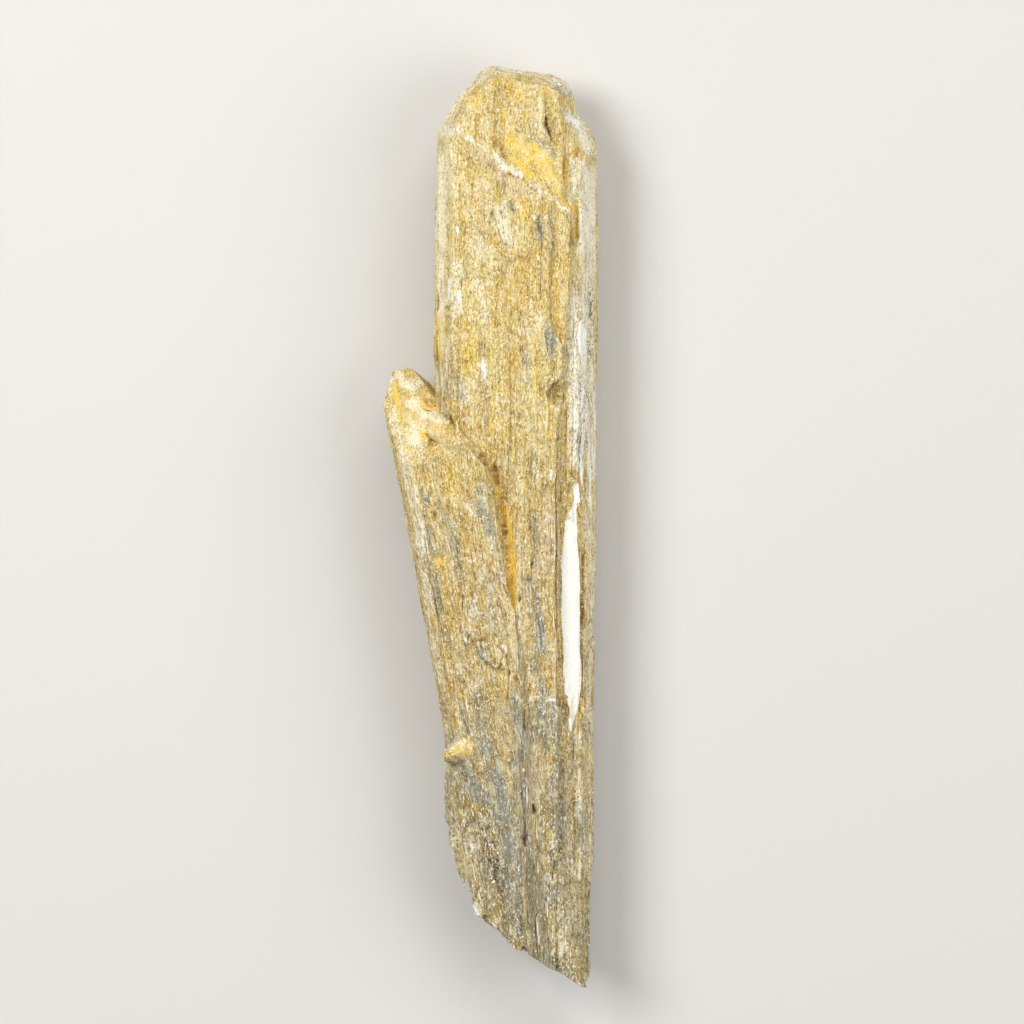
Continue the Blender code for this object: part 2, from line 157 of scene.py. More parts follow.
cell_at = numbers(skin.data.vertices, "co", 3)
back = skin.vertex_groups.new(name="back")
in_notch = np.all(np.abs(cell_at[:, :2] - NOTCH_AT) < NOTCH_REACH, axis=1)
back.add(np.flatnonzero((cell_at[:, 2] < FRONT_FROM_Z) & ~in_notch).tolist(), 1.0, "REPLACE")
on_side_tip = (cell_at[:, 1] > SIDE_TIP_FROM_Y) & (cell_at[:, 0] < SIDE_TIP_TO_X)
worn = skin.vertex_groups.new(name="worn")
worn.add(np.flatnonzero((cell_at[:, 1] > TIP_FROM_Y) | on_side_tip).tolist(), 1.0, "REPLACE")
dome = skin.vertex_groups.new(name="dome")
on_edge = cell_at[:, 1] > DOME_FROM_Y - DOME_EDGE
dome.add(np.flatnonzero(on_edge).tolist(), DOME_EDGE_SHARE, "REPLACE")
dome.add(np.flatnonzero(cell_at[:, 1] > DOME_FROM_Y).tolist(), 1.0, "REPLACE")
for group, rounds in ROUNDS_OF_WEAR.items():
    wear = skin.modifiers.new("round the " + group + " end", "SMOOTH")
    wear.iterations = rounds
    wear.vertex_group = group
thin = skin.modifiers.new("thin the back", "DECIMATE")
thin.ratio = min(1.0, SKIN_TRIANGLES / (2 * len(skin.data.polygons)))
thin.vertex_group = "back"
thin.vertex_group_factor = 30.0
cells = len(skin.data.polygons)
skin.data = evaluated_mesh(skin)
skin.vertex_groups.clear()
print("cells:", cells, " faces after thinning:", len(skin.data.polygons))

# %% [markdown]
# The two prisms point different ways, and their fibres with them. Each point of the skin learns
# how far it belongs to the leaning prism: the cleft parts the two, and below the cleft they blend.

# %% Which prism a point belongs to
SIDE_LEAN = math.radians(10.4)
PARTING = [(-7.2, 22.5), (-7.0, 15.8), (-4.3, 13.2), (-1.2, 10.2), (0.6, 6.0), (2.0, -3.8), (3.4, -11.6),
           (4.4, -20.0), (4.8, -28.0), (5.2, -40.0), (6.0, -50.0), (7.0, -60.0)]
PARTING_BEHIND_X = -7.3


def smooth(value, low, high):
    """0 below low, 1 above high, and an even slope between."""
    t = np.clip((value - low) / (high - low), 0, 1)
    return t * t * (3 - 2 * t)


def mark(mesh, name, values):
    """Keeps one number for each point of the mesh, for node trees to read."""
    mesh.attributes.new(name, "FLOAT", "POINT").data.foreach_set("value", values.astype(np.float32))


place = numbers(skin.data.vertices, "co", 3) / MM
facing = numbers(skin.data.vertex_normals, "vector", 3)
parting_y, parting_x = zip(*[(y, x) for x, y in PARTING[::-1]])
front_x = np.interp(place[:, 1], parting_y, parting_x)
parting = PARTING_BEHIND_X + (front_x - PARTING_BEHIND_X) * smooth(place[:, 2], 6.0, 9.0)
blend = 0.15 + 1.6 * smooth(-place[:, 1], 12.0, 30.0)
side = 1 - smooth(place[:, 0] - parting, -blend, blend)
side *= smooth(23.5 - place[:, 1], 0, 0.3)
mark(skin.data, "side", side)
print("share of the points on the leaning prism:", round(float(side.mean()), 2))

# %% [markdown]
# Weather has stained the front unevenly, and some strokes paint light and shade as well, as each
# one says. Each stain is a brush stroke along the stone: a row of (x, y, half width) in
# millimetres. `paint` measures how near each point lies to a stroke, after the points have been
# jittered a little so that no edge runs smooth. The strokes have soft edges here, and the shader
# later frays them along the fibres.

# %% Stains and painted light on the front
STAINS_AND_PAINTED_LIGHT = {
    # Clear honey yellow, on the smooth tile under the tip and on sheltered faces.
    "honey": (1.2, [
        [(3.0, 53.8, 1.2), (5.6, 52.8, 1.9), (7.6, 51.2, 1.2)], [(5.4, 50.6, 0.8), (9.6, 47.4, 0.6)],
        [(8.4, 50.8, 0.5), (9.0, 49.0, 0.4)], [(-3.0, 60.4, 1.2), (-1.8, 58.8, 1.0)],
        [(-3.6, 28.2, 1.0), (-2.6, 22.4, 1.5)], [(-3.4, 20.4, 0.6), (-3.3, 18.6, 0.6)],
        [(-5.8, 8.4, 0.8), (-5.2, 5.4, 1.0), (-5.0, 3.0, 0.6)], [(-2.4, 6.6, 0.3), (-2.2, 5.2, 0.4)],
        [(12.8, 36.8, 0.9), (12.8, 34.0, 0.6)], [(8.4, 16.4, 0.6), (7.4, 14.6, 0.6)],
        [(4.6, 6.6, 0.3), (4.7, 5.4, 0.4)], [(-7.2, 50.0, 0.3), (-6.6, 38.0, 0.5)],
        [(4.6, 45.2, 0.8), (5.0, 41.0, 0.7)], [(-0.8, 33.0, 0.5), (-1.4, 29.6, 0.9)],
        [(0.0, 12.6, 0.7), (2.2, 19.4, 0.7)], [(6.2, 22.0, 0.5), (6.4, 18.0, 0.6)],
        [(2.0, 63.4, 1.0), (3.6, 60.4, 1.2)], [(-5.8, -32.6, 1.0), (-3.2, -31.8, 1.2)]]),
    # A flush of rose-beige, where a trace of manganese stains the oxide.
    "rose": (1.6, [
        [(-2.4, 52.4, 0.9), (0.4, 50.8, 1.0), (2.6, 47.8, 1.0), (6.6, 45.4, 0.7)],
        [(11.9, 33.0, 0.6), (11.8, 22.0, 0.7), (11.6, 8.0, 0.6)], [(-0.8, 44.6, 0.5), (-0.8, 40.6, 0.5)],
        [(2.4, 38.6, 0.4), (2.4, 35.6, 0.5)], [(-5.9, 51.0, 0.5), (-5.6, 44.0, 0.5)],
        [(8.4, 5.6, 1.1), (8.2, -6.6, 1.2)], [(6.6, -4.6, 0.6), (7.2, -7.6, 0.5)],
        [(-2.2, 55.6, 0.4), (2.0, 53.0, 0.4)], [(-11.0, 17.0, 0.6), (-9.0, 14.0, 0.8)],
        [(-3.0, 12.0, 0.5), (-7.0, 9.6, 0.6)], [(0.6, -9.0, 0.5), (1.4, -14.0, 0.6)],
        [(6.2, 9.4, 0.4), (8.0, 9.4, 0.6)], [(-0.6, 18.6, 0.4), (-0.4, 14.6, 0.5)],
        [(4.6, 33.0, 0.4), (5.0, 20.0, 0.5)], [(6.0, -34.0, 0.7), (6.4, -42.0, 0.5)],
        [(-2.4, -20.0, 0.5), (-2.0, -27.0, 0.5)]]),
    # Iron-yellow ochre, washed into hollows and down the grooves.
    "ochre": (1.25, [
        [(0.4, 62.6, 0.9), (3.0, 62.0, 0.8)], [(3.6, 63.1, 0.5), (5.8, 62.3, 0.5)],
        [(5.0, 61.0, 0.4), (5.8, 60.0, 0.3)], [(7.2, 61.6, 0.6), (8.8, 60.8, 0.7), (10.0, 59.4, 0.4)],
        [(10.6, 59.6, 0.5), (11.8, 59.0, 0.5)], [(-1.9, 61.6, 0.4), (-1.2, 60.4, 0.3)],
        [(-2.3, 57.2, 0.4), (-2.0, 55.8, 0.3)], [(0.7, 57.2, 0.2), (0.4, 55.6, 0.2)],
        [(1.9, 57.4, 0.25), (2.2, 54.2, 0.4)], [(-3.9, 56.3, 0.3), (-0.4, 54.5, 0.3), (1.4, 53.9, 0.2)],
        [(10.2, 57.0, 0.4), (10.9, 54.8, 0.8), (10.2, 53.6, 0.5)],
        [(9.8, 53.4, 0.4), (12.2, 52.2, 0.6), (14.3, 51.0, 0.5)],
        [(-3.0, 48.2, 0.6), (-2.6, 46.4, 0.7), (-1.9, 44.6, 0.5), (-1.4, 42.4, 0.4)],
        [(-4.4, 45.6, 0.5), (-3.9, 43.2, 0.5)], [(-3.4, 42.4, 0.2), (-3.6, 38.4, 0.3)],
        [(0.5, 40.4, 0.3), (1.2, 38.4, 0.6), (1.2, 34.0, 0.8), (0.6, 28.2, 0.4)],
        [(3.6, 37.6, 0.4), (3.4, 30.0, 0.5)], [(4.8, 36.4, 0.3), (4.6, 30.4, 0.5)],
        [(6.4, 38.2, 0.3), (6.5, 33.5, 0.4), (6.4, 28.0, 0.2)],
        [(7.6, 35.6, 0.3), (7.3, 31.8, 0.3), (8.2, 29.9, 0.2)],
        [(8.8, 36.5, 0.3), (9.2, 31.6, 0.4), (10.1, 26.6, 0.4)], [(10.6, 38.0, 0.3), (10.6, 33.0, 0.3)],
        [(-0.6, 26.2, 0.5), (-1.2, 24.4, 0.4)], [(3.2, 23.8, 0.7), (3.0, 19.8, 0.8), (2.6, 15.8, 0.4)],
        [(5.2, 29.0, 0.4), (4.6, 24.0, 0.4)], [(-5.6, 19.2, 0.3), (-5.3, 15.4, 0.5), (-4.8, 13.6, 0.3)],
        [(-3.2, 12.9, 0.6), (-1.2, 11.4, 0.8), (0.0, 9.6, 0.8), (1.2, 6.0, 0.8), (1.8, 2.0, 0.6),
         (2.2, -3.0, 0.3)], [(1.8, 15.0, 0.4), (3.0, 12.4, 0.4)], [(6.6, 13.2, 0.5), (7.3, 12.0, 0.4)],
        [(6.9, 6.6, 0.4), (7.1, 5.4, 0.4)], [(9.0, 5.6, 0.2), (8.9, 1.6, 0.3)],
        [(4.2, 3.6, 0.2), (4.2, 0.8, 0.2)], [(5.3, 4.6, 0.2), (5.5, -4.0, 0.2)],
        [(9.2, -7.6, 0.3), (9.4, -14.0, 0.3)], [(8.0, -12.6, 0.4), (8.4, -16.0, 0.3)],
        [(8.2, -20.0, 0.4), (8.6, -23.0, 0.4)], [(4.0, -21.6, 0.2), (4.3, -23.4, 0.2)],
        [(7.2, -30.5, 0.3), (7.2, -33.6, 0.2)], [(9.4, -29.0, 0.4), (9.8, -32.0, 0.3)],
        [(-3.2, 1.4, 0.5), (-2.9, -1.6, 0.6), (-3.0, -4.6, 0.4)], [(-8.6, 2.4, 0.3), (-8.5, 1.0, 0.2)],
        [(-7.9, -4.7, 0.4), (-6.8, -5.2, 0.4)],
        [(-6.9, -6.4, 0.5), (-6.2, -8.6, 0.4), (-5.8, -13.0, 0.4), (-5.3, -17.0, 0.4)],
        [(-3.0, 12.0, 0.2), (-7.4, 13.6, 0.3)],
        [(-4.8, -10.0, 0.4), (-4.4, -14.0, 0.4), (-4.0, -16.4, 0.5), (-2.2, -17.6, 0.3)],
        [(-3.0, -18.2, 0.3), (-2.2, -20.4, 0.3)],
        [(-6.9, -17.5, 0.3), (-6.2, -21.0, 0.5), (-5.6, -24.5, 0.4), (-4.9, -28.6, 0.3)],
        [(2.5, -18.5, 0.25), (2.8, -21.0, 0.3), (2.3, -25.0, 0.25)],
        [(1.1, -20.0, 0.4), (1.9, -24.5, 0.4)], [(13.6, -28.0, 0.3), (13.7, -44.0, 0.15)],
        [(13.3, -3.0, 0.25), (13.3, -27.0, 0.4)], [(9.6, -2.0, 0.15), (9.8, -24.0, 0.2)],
        [(11.4, -37.0, 0.15), (11.7, -44.0, 0.15)], [(13.3, -49.6, 0.25), (13.4, -56.6, 0.3)],
        [(10.0, -35.6, 0.7), (10.0, -38.2, 0.5)], [(2.0, -32.0, 0.4), (3.0, -40.0, 0.2)],
        [(4.3, -40.6, 0.15), (4.6, -43.0, 0.15)], [(4.9, -51.0, 0.3), (5.0, -52.3, 0.2)],
        [(-4.0, -37.6, 0.2), (-2.6, -41.4, 0.4), (-1.4, -40.0, 0.3)],
        [(-1.9, -43.2, 0.2), (-1.5, -44.6, 0.3)], [(-0.4, -10.6, 0.4), (0.4, -13.2, 0.3)],
        [(6.4, -19.6, 0.2), (6.6, -27.0, 0.3)],
        [(-13.1, 19.8, 0.4), (-13.3, 17.8, 0.5), (-12.8, 16.0, 0.4), (-12.1, 13.8, 0.3)],
        [(-9.9, 17.9, 0.25), (-8.4, 16.8, 0.45)],
        [(-7.6, 18.6, 0.2), (-6.8, 17.2, 0.25), (-6.4, 15.4, 0.2)],
        [(-7.8, 13.6, 0.2), (-5.8, 13.1, 0.3)], [(-9.7, 11.6, 0.25), (-8.8, 12.3, 0.3)],
        [(-9.2, 10.9, 0.3), (-7.4, 10.0, 0.3), (-6.2, 10.3, 0.25)],
        [(-10.8, 8.8, 0.2), (-9.0, 7.2, 0.25)], [(-9.6, 6.4, 0.4), (-9.0, 5.4, 0.3)]]),
    # Saturated orange-yellow, where wet ochre dried in the cleft, the ledge and the slots.
    "saffron": (0.55, [
        [(2.8, 51.4, 0.3), (4.6, 49.9, 0.7), (6.4, 48.6, 0.3)], [(9.0, 47.0, 0.2), (11.2, 45.0, 0.4)],
        [(10.7, 51.4, 0.15), (10.6, 47.0, 0.2)], [(12.0, 44.8, 0.3), (12.3, 40.4, 0.3)],
        [(-0.2, 7.4, 0.1), (1.4, 4.4, 0.3), (2.4, 0.4, 0.5), (2.9, -4.0, 0.55), (3.35, -11.8, 0.45)],
        [(3.3, 2.2, 0.15), (3.4, -4.0, 0.15)], [(8.5, 14.4, 0.15), (8.4, 12.4, 0.2)],
        [(-5.7, 15.4, 0.2), (-5.0, 13.6, 0.2)], [(-7.5, -4.8, 0.25), (-6.4, -6.2, 0.3)],
        [(-8.2, 11.4, 0.3), (-7.7, 10.6, 0.25)],
        [(13.2, -4.8, 0.2), (13.25, -12.0, 0.25), (13.2, -20.0, 0.25), (12.8, -26.4, 0.3)],
        [(-8.6, 17.0, 0.2), (-8.0, 16.6, 0.2)], [(-7.4, 28.0, 0.3), (-7.4, 22.6, 0.3)],
        [(-7.4, 33.0, 0.2), (-7.4, 31.0, 0.2)], [(-4.6, -23.6, 0.2), (-3.6, -24.1, 0.3)],
        [(-8.2, -13.0, 0.15), (-7.8, -15.6, 0.15)],
        [(-13.2, 19.6, 0.2), (-13.4, 17.6, 0.35), (-12.9, 15.2, 0.2)],
        [(-10.6, 17.4, 0.15), (-9.0, 16.4, 0.3), (-8.0, 16.0, 0.2)],
        [(-9.9, 15.0, 0.1), (-8.6, 13.4, 0.2), (-6.8, 12.8, 0.15)],
        [(-11.6, 10.8, 0.2), (-9.6, 9.8, 0.15)], [(-9.4, 12.4, 0.3), (-9.0, 11.2, 0.3)],
        [(5.0, 58.0, 0.1), (5.4, 55.8, 0.1)], [(1.6, 58.6, 0.1), (2.0, 56.0, 0.15)],
        [(-1.6, 58.4, 0.1), (-1.2, 57.0, 0.1)]]),
    # Blue-grey, where the ochre has rubbed off the harder, half-metallic core.
    "slate": (1.6, [
        [(9.4, 61.4, 0.5), (10.8, 60.9, 0.5)], [(5.2, 56.4, 0.1), (5.7, 55.6, 0.2)],
        [(5.2, 54.6, 0.15), (7.2, 53.4, 0.4), (8.8, 52.8, 0.3)], [(-6.8, 54.0, 0.1), (-6.7, 52.6, 0.2)],
        [(6.7, 43.0, 0.25), (7.1, 40.6, 0.4)], [(8.6, 44.0, 0.1), (8.9, 38.0, 0.15)],
        [(2.5, 44.8, 0.2), (3.4, 43.8, 0.2)], [(8.0, 27.6, 0.4), (8.8, 25.6, 0.6), (8.4, 23.6, 0.4)],
        [(5.0, 24.6, 0.2), (5.2, 21.8, 0.3)], [(-5.9, 20.2, 0.3), (-5.7, 18.0, 0.3)],
        [(-1.2, 25.0, 0.4), (-1.0, 23.6, 0.3)], [(-4.6, 21.0, 0.4), (-4.2, 17.6, 0.4)],
        [(11.8, 28.0, 0.4), (11.9, 25.4, 0.4)], [(10.8, 24.6, 0.25), (11.0, 23.4, 0.2)],
        [(6.0, 11.0, 0.2), (6.4, 6.6, 0.3)], [(6.0, 1.0, 0.25), (6.3, -2.0, 0.4), (6.0, -5.4, 0.3)],
        [(5.9, -8.8, 0.8), (6.9, -13.0, 0.9), (7.1, -18.0, 0.7)], [(12.4, 12.6, 0.4), (13.0, 9.4, 0.4)],
        [(-6.2, 11.4, 0.2), (-5.2, 11.0, 0.3)], [(-1.6, 5.2, 0.6), (-0.6, 1.0, 0.8), (0.0, -1.6, 0.5)],
        [(-9.4, 4.2, 0.6), (-8.8, 2.8, 0.4)], [(-8.6, -1.2, 0.3), (-8.2, -2.4, 0.4)],
        [(-6.2, 1.0, 0.4), (-5.0, -2.4, 0.5), (-4.2, -6.0, 0.5)], [(-6.9, -2.8, 0.2), (-6.7, -4.2, 0.25)],
        [(-7.4, -7.6, 0.4), (-6.9, -12.4, 0.4)], [(-6.1, -15.4, 0.3), (-5.7, -18.0, 0.3)],
        [(-1.4, -17.2, 0.4), (-0.6, -19.4, 0.4)], [(-0.4, -8.0, 0.3), (0.6, -16.0, 0.3)],
        [(3.2, -24.8, 0.5), (3.8, -28.6, 0.5)], [(-4.2, -26.4, 0.3), (-3.2, -29.4, 0.3)],
        [(-2.0, -24.6, 0.4), (-0.6, -31.0, 0.5)],
        [(0.4, -34.6, 1.0), (1.6, -39.0, 1.5), (2.8, -44.0, 1.7), (3.2, -50.0, 1.2)],
        [(3.6, -26.4, 0.8), (5.0, -31.0, 0.9), (3.4, -34.0, 0.6)], [(7.4, -25.6, 1.2), (8.2, -32.0, 1.2)],
        [(-1.6, -27.0, 0.6), (-0.4, -33.0, 0.8)],
        [(-3.4, -34.6, 1.1), (-3.0, -37.0, 1.2), (-0.8, -39.0, 1.0)],
        [(8.4, -36.4, 0.2), (8.7, -43.0, 0.3)], [(10.2, -40.0, 0.6), (10.6, -45.0, 0.5)],
        [(4.6, -36.8, 0.25), (4.9, -44.0, 0.3)], [(3.2, -50.4, 0.6), (4.0, -57.4, 0.8)],
        [(9.6, -38.8, 0.5), (9.7, -45.0, 0.6)], [(7.4, -50.6, 0.6), (8.2, -54.0, 0.6)],
        [(8.0, -60.8, 0.5), (9.4, -62.4, 0.6)], [(6.2, -20.0, 0.5), (7.6, -24.0, 0.8)],
        [(8.6, -26.2, 1.0), (9.4, -30.6, 0.8)], [(12.6, -40.0, 0.3), (12.7, -47.0, 0.3)]]),
    # Ash-white to pale lilac-grey skin on the outer strips and bevels. On the right bevel, which the
    # lamps light less than the front, it is laid paler still as painted light.
    "ash": (1.4, [
        [(13.7, 51.4, 1.2), (13.9, 38.0, 1.2), (13.6, 26.0, 1.0), (13.9, 12.0, 1.0)],
        [(12.0, 57.4, 0.8), (14.0, 53.0, 1.0)], [(11.6, 50.6, 0.4), (12.1, 47.0, 0.5)],
        [(12.9, 44.0, 0.5), (13.2, 40.0, 0.6)], [(12.2, 32.0, 0.8), (12.0, 20.0, 0.9), (12.2, 9.0, 0.8)],
        [(14.4, 30.0, 0.4), (14.2, 10.0, 0.5)], [(-6.8, 56.2, 0.7), (-5.0, 55.6, 0.9)],
        [(9.2, 62.6, 0.6), (11.2, 61.4, 0.6)], [(-7.6, 21.4, 0.4), (-6.8, 19.0, 0.4)],
        [(-1.2, 22.4, 0.3), (-0.8, 20.0, 0.3)], [(-3.8, 19.6, 0.4), (-3.4, 17.6, 0.4)],
        [(-1.4, 5.0, 0.6), (0.2, -1.6, 0.5), (1.2, -5.6, 0.3)],
        [(-10.6, 4.0, 0.4), (-9.4, -3.0, 0.4), (-8.4, -10.0, 0.3)], [(4.0, -12.0, 0.4), (4.6, -18.0, 0.4)]]),
    # Paler, creamier sheets, rims and bevels. On the tip's bevel and the right bevel, which the lamps
    # light less than the front, the cream is painted light as well.
    "cream": (1.1, [
        [(-6.6, 57.2, 0.9), (-3.6, 62.0, 1.2), (-0.6, 64.4, 1.3), (4.4, 64.4, 1.0), (8.6, 63.8, 1.0),
         (11.4, 61.4, 0.6)], [(10.4, 58.4, 0.4), (12.2, 58.0, 0.5)],
        [(1.6, 44.8, 0.9), (1.8, 41.6, 1.1), (2.8, 39.8, 0.7)], [(-6.9, 51.5, 0.8), (-7.0, 30.0, 0.7)],
        [(-4.6, 36.8, 0.8), (-4.4, 29.8, 0.8)], [(-1.6, 34.2, 0.4), (-0.6, 28.6, 0.4)],
        [(-5.9, 26.0, 0.4), (-6.4, 20.0, 0.4)], [(0.4, 51.6, 0.5), (3.0, 49.8, 0.35), (4.8, 48.8, 0.25)],
        [(-1.6, 40.0, 0.5), (-1.2, 37.4, 0.4)], [(-13.6, 20.6, 0.8), (-10.4, 19.4, 0.9)],
        [(-13.8, 16.0, 0.4), (-11.4, 5.0, 0.4), (-9.6, -4.0, 0.4)],
        [(-10.8, 16.8, 0.9), (-7.4, 14.8, 0.8)], [(-11.0, 13.0, 0.8), (-10.0, 9.6, 0.6)],
        [(-6.6, 16.6, 0.2), (-6.0, 14.6, 0.2)], [(5.4, 28.0, 0.3), (5.0, 25.4, 0.3)],
        [(6.0, 30.6, 0.4), (7.2, 28.6, 0.5)], [(-1.2, -6.6, 0.5), (-1.8, -8.6, 0.5)],
        [(-5.6, -31.6, 0.5), (-3.4, -31.2, 0.6)], [(10.4, -55.4, 0.35), (10.3, -60.6, 0.6)],
        [(8.6, 17.0, 0.15), (10.2, 16.2, 0.2)], [(4.2, 10.0, 0.2), (4.2, 2.0, 0.2)],
        [(12.4, -30.0, 0.5), (13.0, -47.0, 0.5)], [(13.9, -28.0, 0.5), (14.0, -50.0, 0.5)],
        [(-9.4, -6.0, 0.5), (-7.0, -22.0, 0.5)], [(14.2, 3.0, 0.7), (14.1, -28.0, 0.7)],
        [(12.6, 30.0, 0.6), (12.8, 8.0, 0.8)]]),
    # Thin white frosting on ledges, rims and rubbed spots; along the ledge rims and the right strip's
    # rims the white is a painted highlight.
    "frost_and_highlight": (0.6, [
        [(10.8, 57.5, 0.25), (12.2, 56.7, 0.5), (12.0, 56.1, 0.3)],
        [(-3.6, 54.8, 0.25), (-2.6, 53.9, 0.3), (-1.1, 53.2, 0.15)],
        [(-1.1, 53.2, 0.1), (1.0, 51.5, 0.2), (2.6, 49.9, 0.2), (4.6, 48.3, 0.2), (6.5, 46.8, 0.2),
         (8.6, 45.5, 0.18), (10.4, 44.5, 0.2)], [(13.2, 34.0, 0.15), (13.0, 6.0, 0.25)],
        [(12.2, 30.0, 0.1), (12.0, 8.0, 0.2)], [(14.0, 12.0, 0.25), (14.2, -2.0, 0.25)],
        [(-5.4, 34.2, 0.3), (-5.6, 31.6, 0.4)], [(-4.4, 32.4, 0.3), (-4.2, 31.4, 0.3)],
        [(-1.2, 22.6, 0.3), (-0.8, 20.4, 0.2)], [(10.7, 61.4, 0.15), (10.9, 61.0, 0.15)],
        [(-4.5, 41.4, 0.3), (-4.3, 41.0, 0.2)], [(3.9, -24.9, 0.2), (6.8, -25.0, 0.3)],
        [(8.2, -24.8, 0.25), (9.4, -24.9, 0.3)], [(12.5, -49.8, 0.12), (12.5, -56.0, 0.2)],
        [(6.8, -55.4, 0.1), (6.9, -59.4, 0.12)], [(10.6, 44.6, 0.25), (11.2, 44.1, 0.3)],
        [(8.6, 7.6, 0.2), (8.5, 6.2, 0.2)], [(14.85, 20.0, 0.2), (14.7, 6.0, 0.2)],
        [(5.9, 13.2, 0.2), (6.1, 12.6, 0.1)], [(6.9, 37.8, 0.07), (6.9, 31.0, 0.07)],
        [(2.6, -26.0, 0.1), (4.4, -31.0, 0.12)], [(1.0, -16.8, 0.12), (2.2, -17.6, 0.12)],
        [(-3.2, 2.2, 0.2), (-2.6, 1.6, 0.2)]]),
    # Chalk-white skins and flakes, where the oxide is pure.
    "chalk": (0.3, [
        [(12.0, 3.4, 0.15), (11.4, 0.4, 0.8), (11.35, -6.0, 1.25), (11.5, -12.0, 1.35),
         (11.6, -23.2, 1.3)], [(11.8, -22.0, 0.95), (11.8, -25.6, 0.75), (11.5, -29.4, 0.1)],
        [(13.0, 28.6, 0.15), (13.1, 26.6, 0.6), (13.3, 23.6, 0.4), (13.4, 20.6, 0.25)],
        [(13.6, 17.6, 0.25), (13.6, 13.8, 0.25)], [(12.1, 5.0, 0.4), (12.3, 3.0, 0.4)]]),
    # Old iron-brown dirt at the bottom of seams, pits and clefts, and painted shade where strokes follow
    # the deep pit under the tip, the slots by the tile, the bite in the front plate's right edge, the
    # cleft by the leaning prism's tip and shaded step edges.
    "umber": (0.4, [
        [(-6.6, -34.2, 0.06), (-4.4, -34.6, 0.1), (-2.6, -33.4, 0.08)],
        [(-5.2, -31.4, 0.02), (-4.2, -33.4, 0.04)],
        [(-0.8, 8.6, 0.15), (0.8, 3.4, 0.15), (1.7, -1.5, 0.12), (2.5, -7.0, 0.08)],
        [(1.0, 6.2, 0.08), (2.0, 0.4, 0.08), (2.6, -4.0, 0.06)], [(2.4, 4.0, 0.06), (3.0, -2.0, 0.06)],
        [(7.9, 57.2, 0.15), (8.1, 56.4, 0.3)], [(8.3, 55.6, 0.25), (8.7, 54.6, 0.3)],
        [(11.45, 41.0, 0.1), (11.4, 37.6, 0.12)], [(7.2, 39.5, 0.06), (7.15, 37.8, 0.08)],
        [(2.2, 49.4, 0.15), (4.2, 48.3, 0.18)], [(4.8, 48.0, 0.18), (6.8, 46.2, 0.2)],
        [(6.4, 49.2, 0.12), (8.4, 46.9, 0.16)], [(10.45, 50.6, 0.08), (10.4, 46.6, 0.12)],
        [(-7.3, 33.0, 0.2), (-7.4, 30.0, 0.25)], [(-7.5, 27.6, 0.2), (-7.5, 22.6, 0.2)],
        [(8.2, 17.9, 0.12), (8.5, 18.8, 0.2), (9.7, 20.3, 0.2)], [(10.3, 22.0, 0.1), (10.4, 15.0, 0.12)],
        [(1.9, 3.4, 0.08), (2.5, -2.6, 0.1)], [(3.7, 2.0, 0.08), (3.7, -5.0, 0.08)],
        [(-6.6, 17.6, 0.1), (-6.3, 15.2, 0.2), (-4.9, 13.1, 0.15)],
        [(-8.3, 17.2, 0.15), (-7.9, 16.8, 0.2)], [(-8.9, 12.0, 0.3), (-7.6, 11.0, 0.35)],
        [(-9.4, 16.6, 0.2), (-8.2, 15.6, 0.25)], [(-3.7, -9.6, 0.15), (-3.9, -12.0, 0.15)],
        [(-2.4, -7.2, 0.1), (-1.8, -8.9, 0.12)], [(-4.4, -14.6, 0.12), (-3.8, -15.6, 0.12)],
        [(-8.5, -13.0, 0.15), (-8.1, -15.4, 0.15)], [(13.4, -5.6, 0.08), (13.4, -20.0, 0.08)],
        [(4.9, -26.8, 0.12), (4.9, -29.6, 0.12)], [(5.2, -50.0, 0.05), (5.6, -58.5, 0.1)],
        [(-1.2, -42.5, 0.15), (0.0, -46.5, 0.2)], [(0.4, -49.0, 0.15), (1.8, -54.0, 0.2)],
        [(6.2, -55.4, 0.2), (6.5, -59.4, 0.2)], [(3.0, -12.4, 0.1), (3.6, -12.4, 0.1)]]),
    # Dull earth-brown grit, trodden into the broken foot.
    "loam": (1.5, [
        [(-2.4, -41.4, 0.5), (-0.4, -46.5, 1.0), (1.0, -51.0, 1.0), (2.2, -56.0, 0.8)],
        [(4.9, -44.0, 0.3), (5.4, -50.0, 0.5), (5.6, -57.0, 0.6)],
        [(-4.6, -37.6, 0.5), (-3.4, -41.0, 0.4)], [(9.8, -34.6, 0.8), (9.9, -38.2, 0.7)],
        [(5.2, -36.0, 0.15), (5.3, -44.0, 0.25)], [(7.4, -55.0, 0.4), (8.2, -59.0, 0.4)],
        [(12.0, -64.2, 0.3), (14.0, -65.2, 0.3)], [(4.8, -59.0, 0.4), (8.4, -62.2, 0.3)],
        [(6.6, -45.0, 0.3), (7.0, -47.6, 0.4)], [(9.2, -52.2, 0.5), (11.8, -50.8, 0.3)],
        [(7.2, -60.6, 0.4), (11.6, -63.6, 0.5)]]),
    # Bare grey sulphide, showing through in a few small windows.
    "graphite": (0.35, [
        [(6.7, 43.4, 0.2), (7.0, 41.2, 0.4)], [(7.2, 40.6, 0.12), (7.3, 38.4, 0.1)],
        [(2.9, 44.5, 0.2), (3.5, 43.8, 0.25)], [(8.0, 26.4, 0.2), (8.3, 24.8, 0.2)],
        [(6.2, -9.4, 0.1), (6.9, -13.4, 0.2), (7.1, -17.4, 0.15)], [(6.1, 0.4, 0.1), (6.3, -2.4, 0.15)],
        [(-4.4, -25.8, 0.1), (-3.0, -29.8, 0.3)], [(8.9, -35.4, 0.1), (9.0, -38.4, 0.15)],
        [(14.2, 31.6, 0.15), (14.1, 29.4, 0.2)], [(13.2, 17.4, 0.1), (13.0, 15.6, 0.15)],
        [(5.1, 23.2, 0.1), (5.2, 21.6, 0.1)], [(5.8, -44.0, 0.1), (6.0, -49.0, 0.2)],
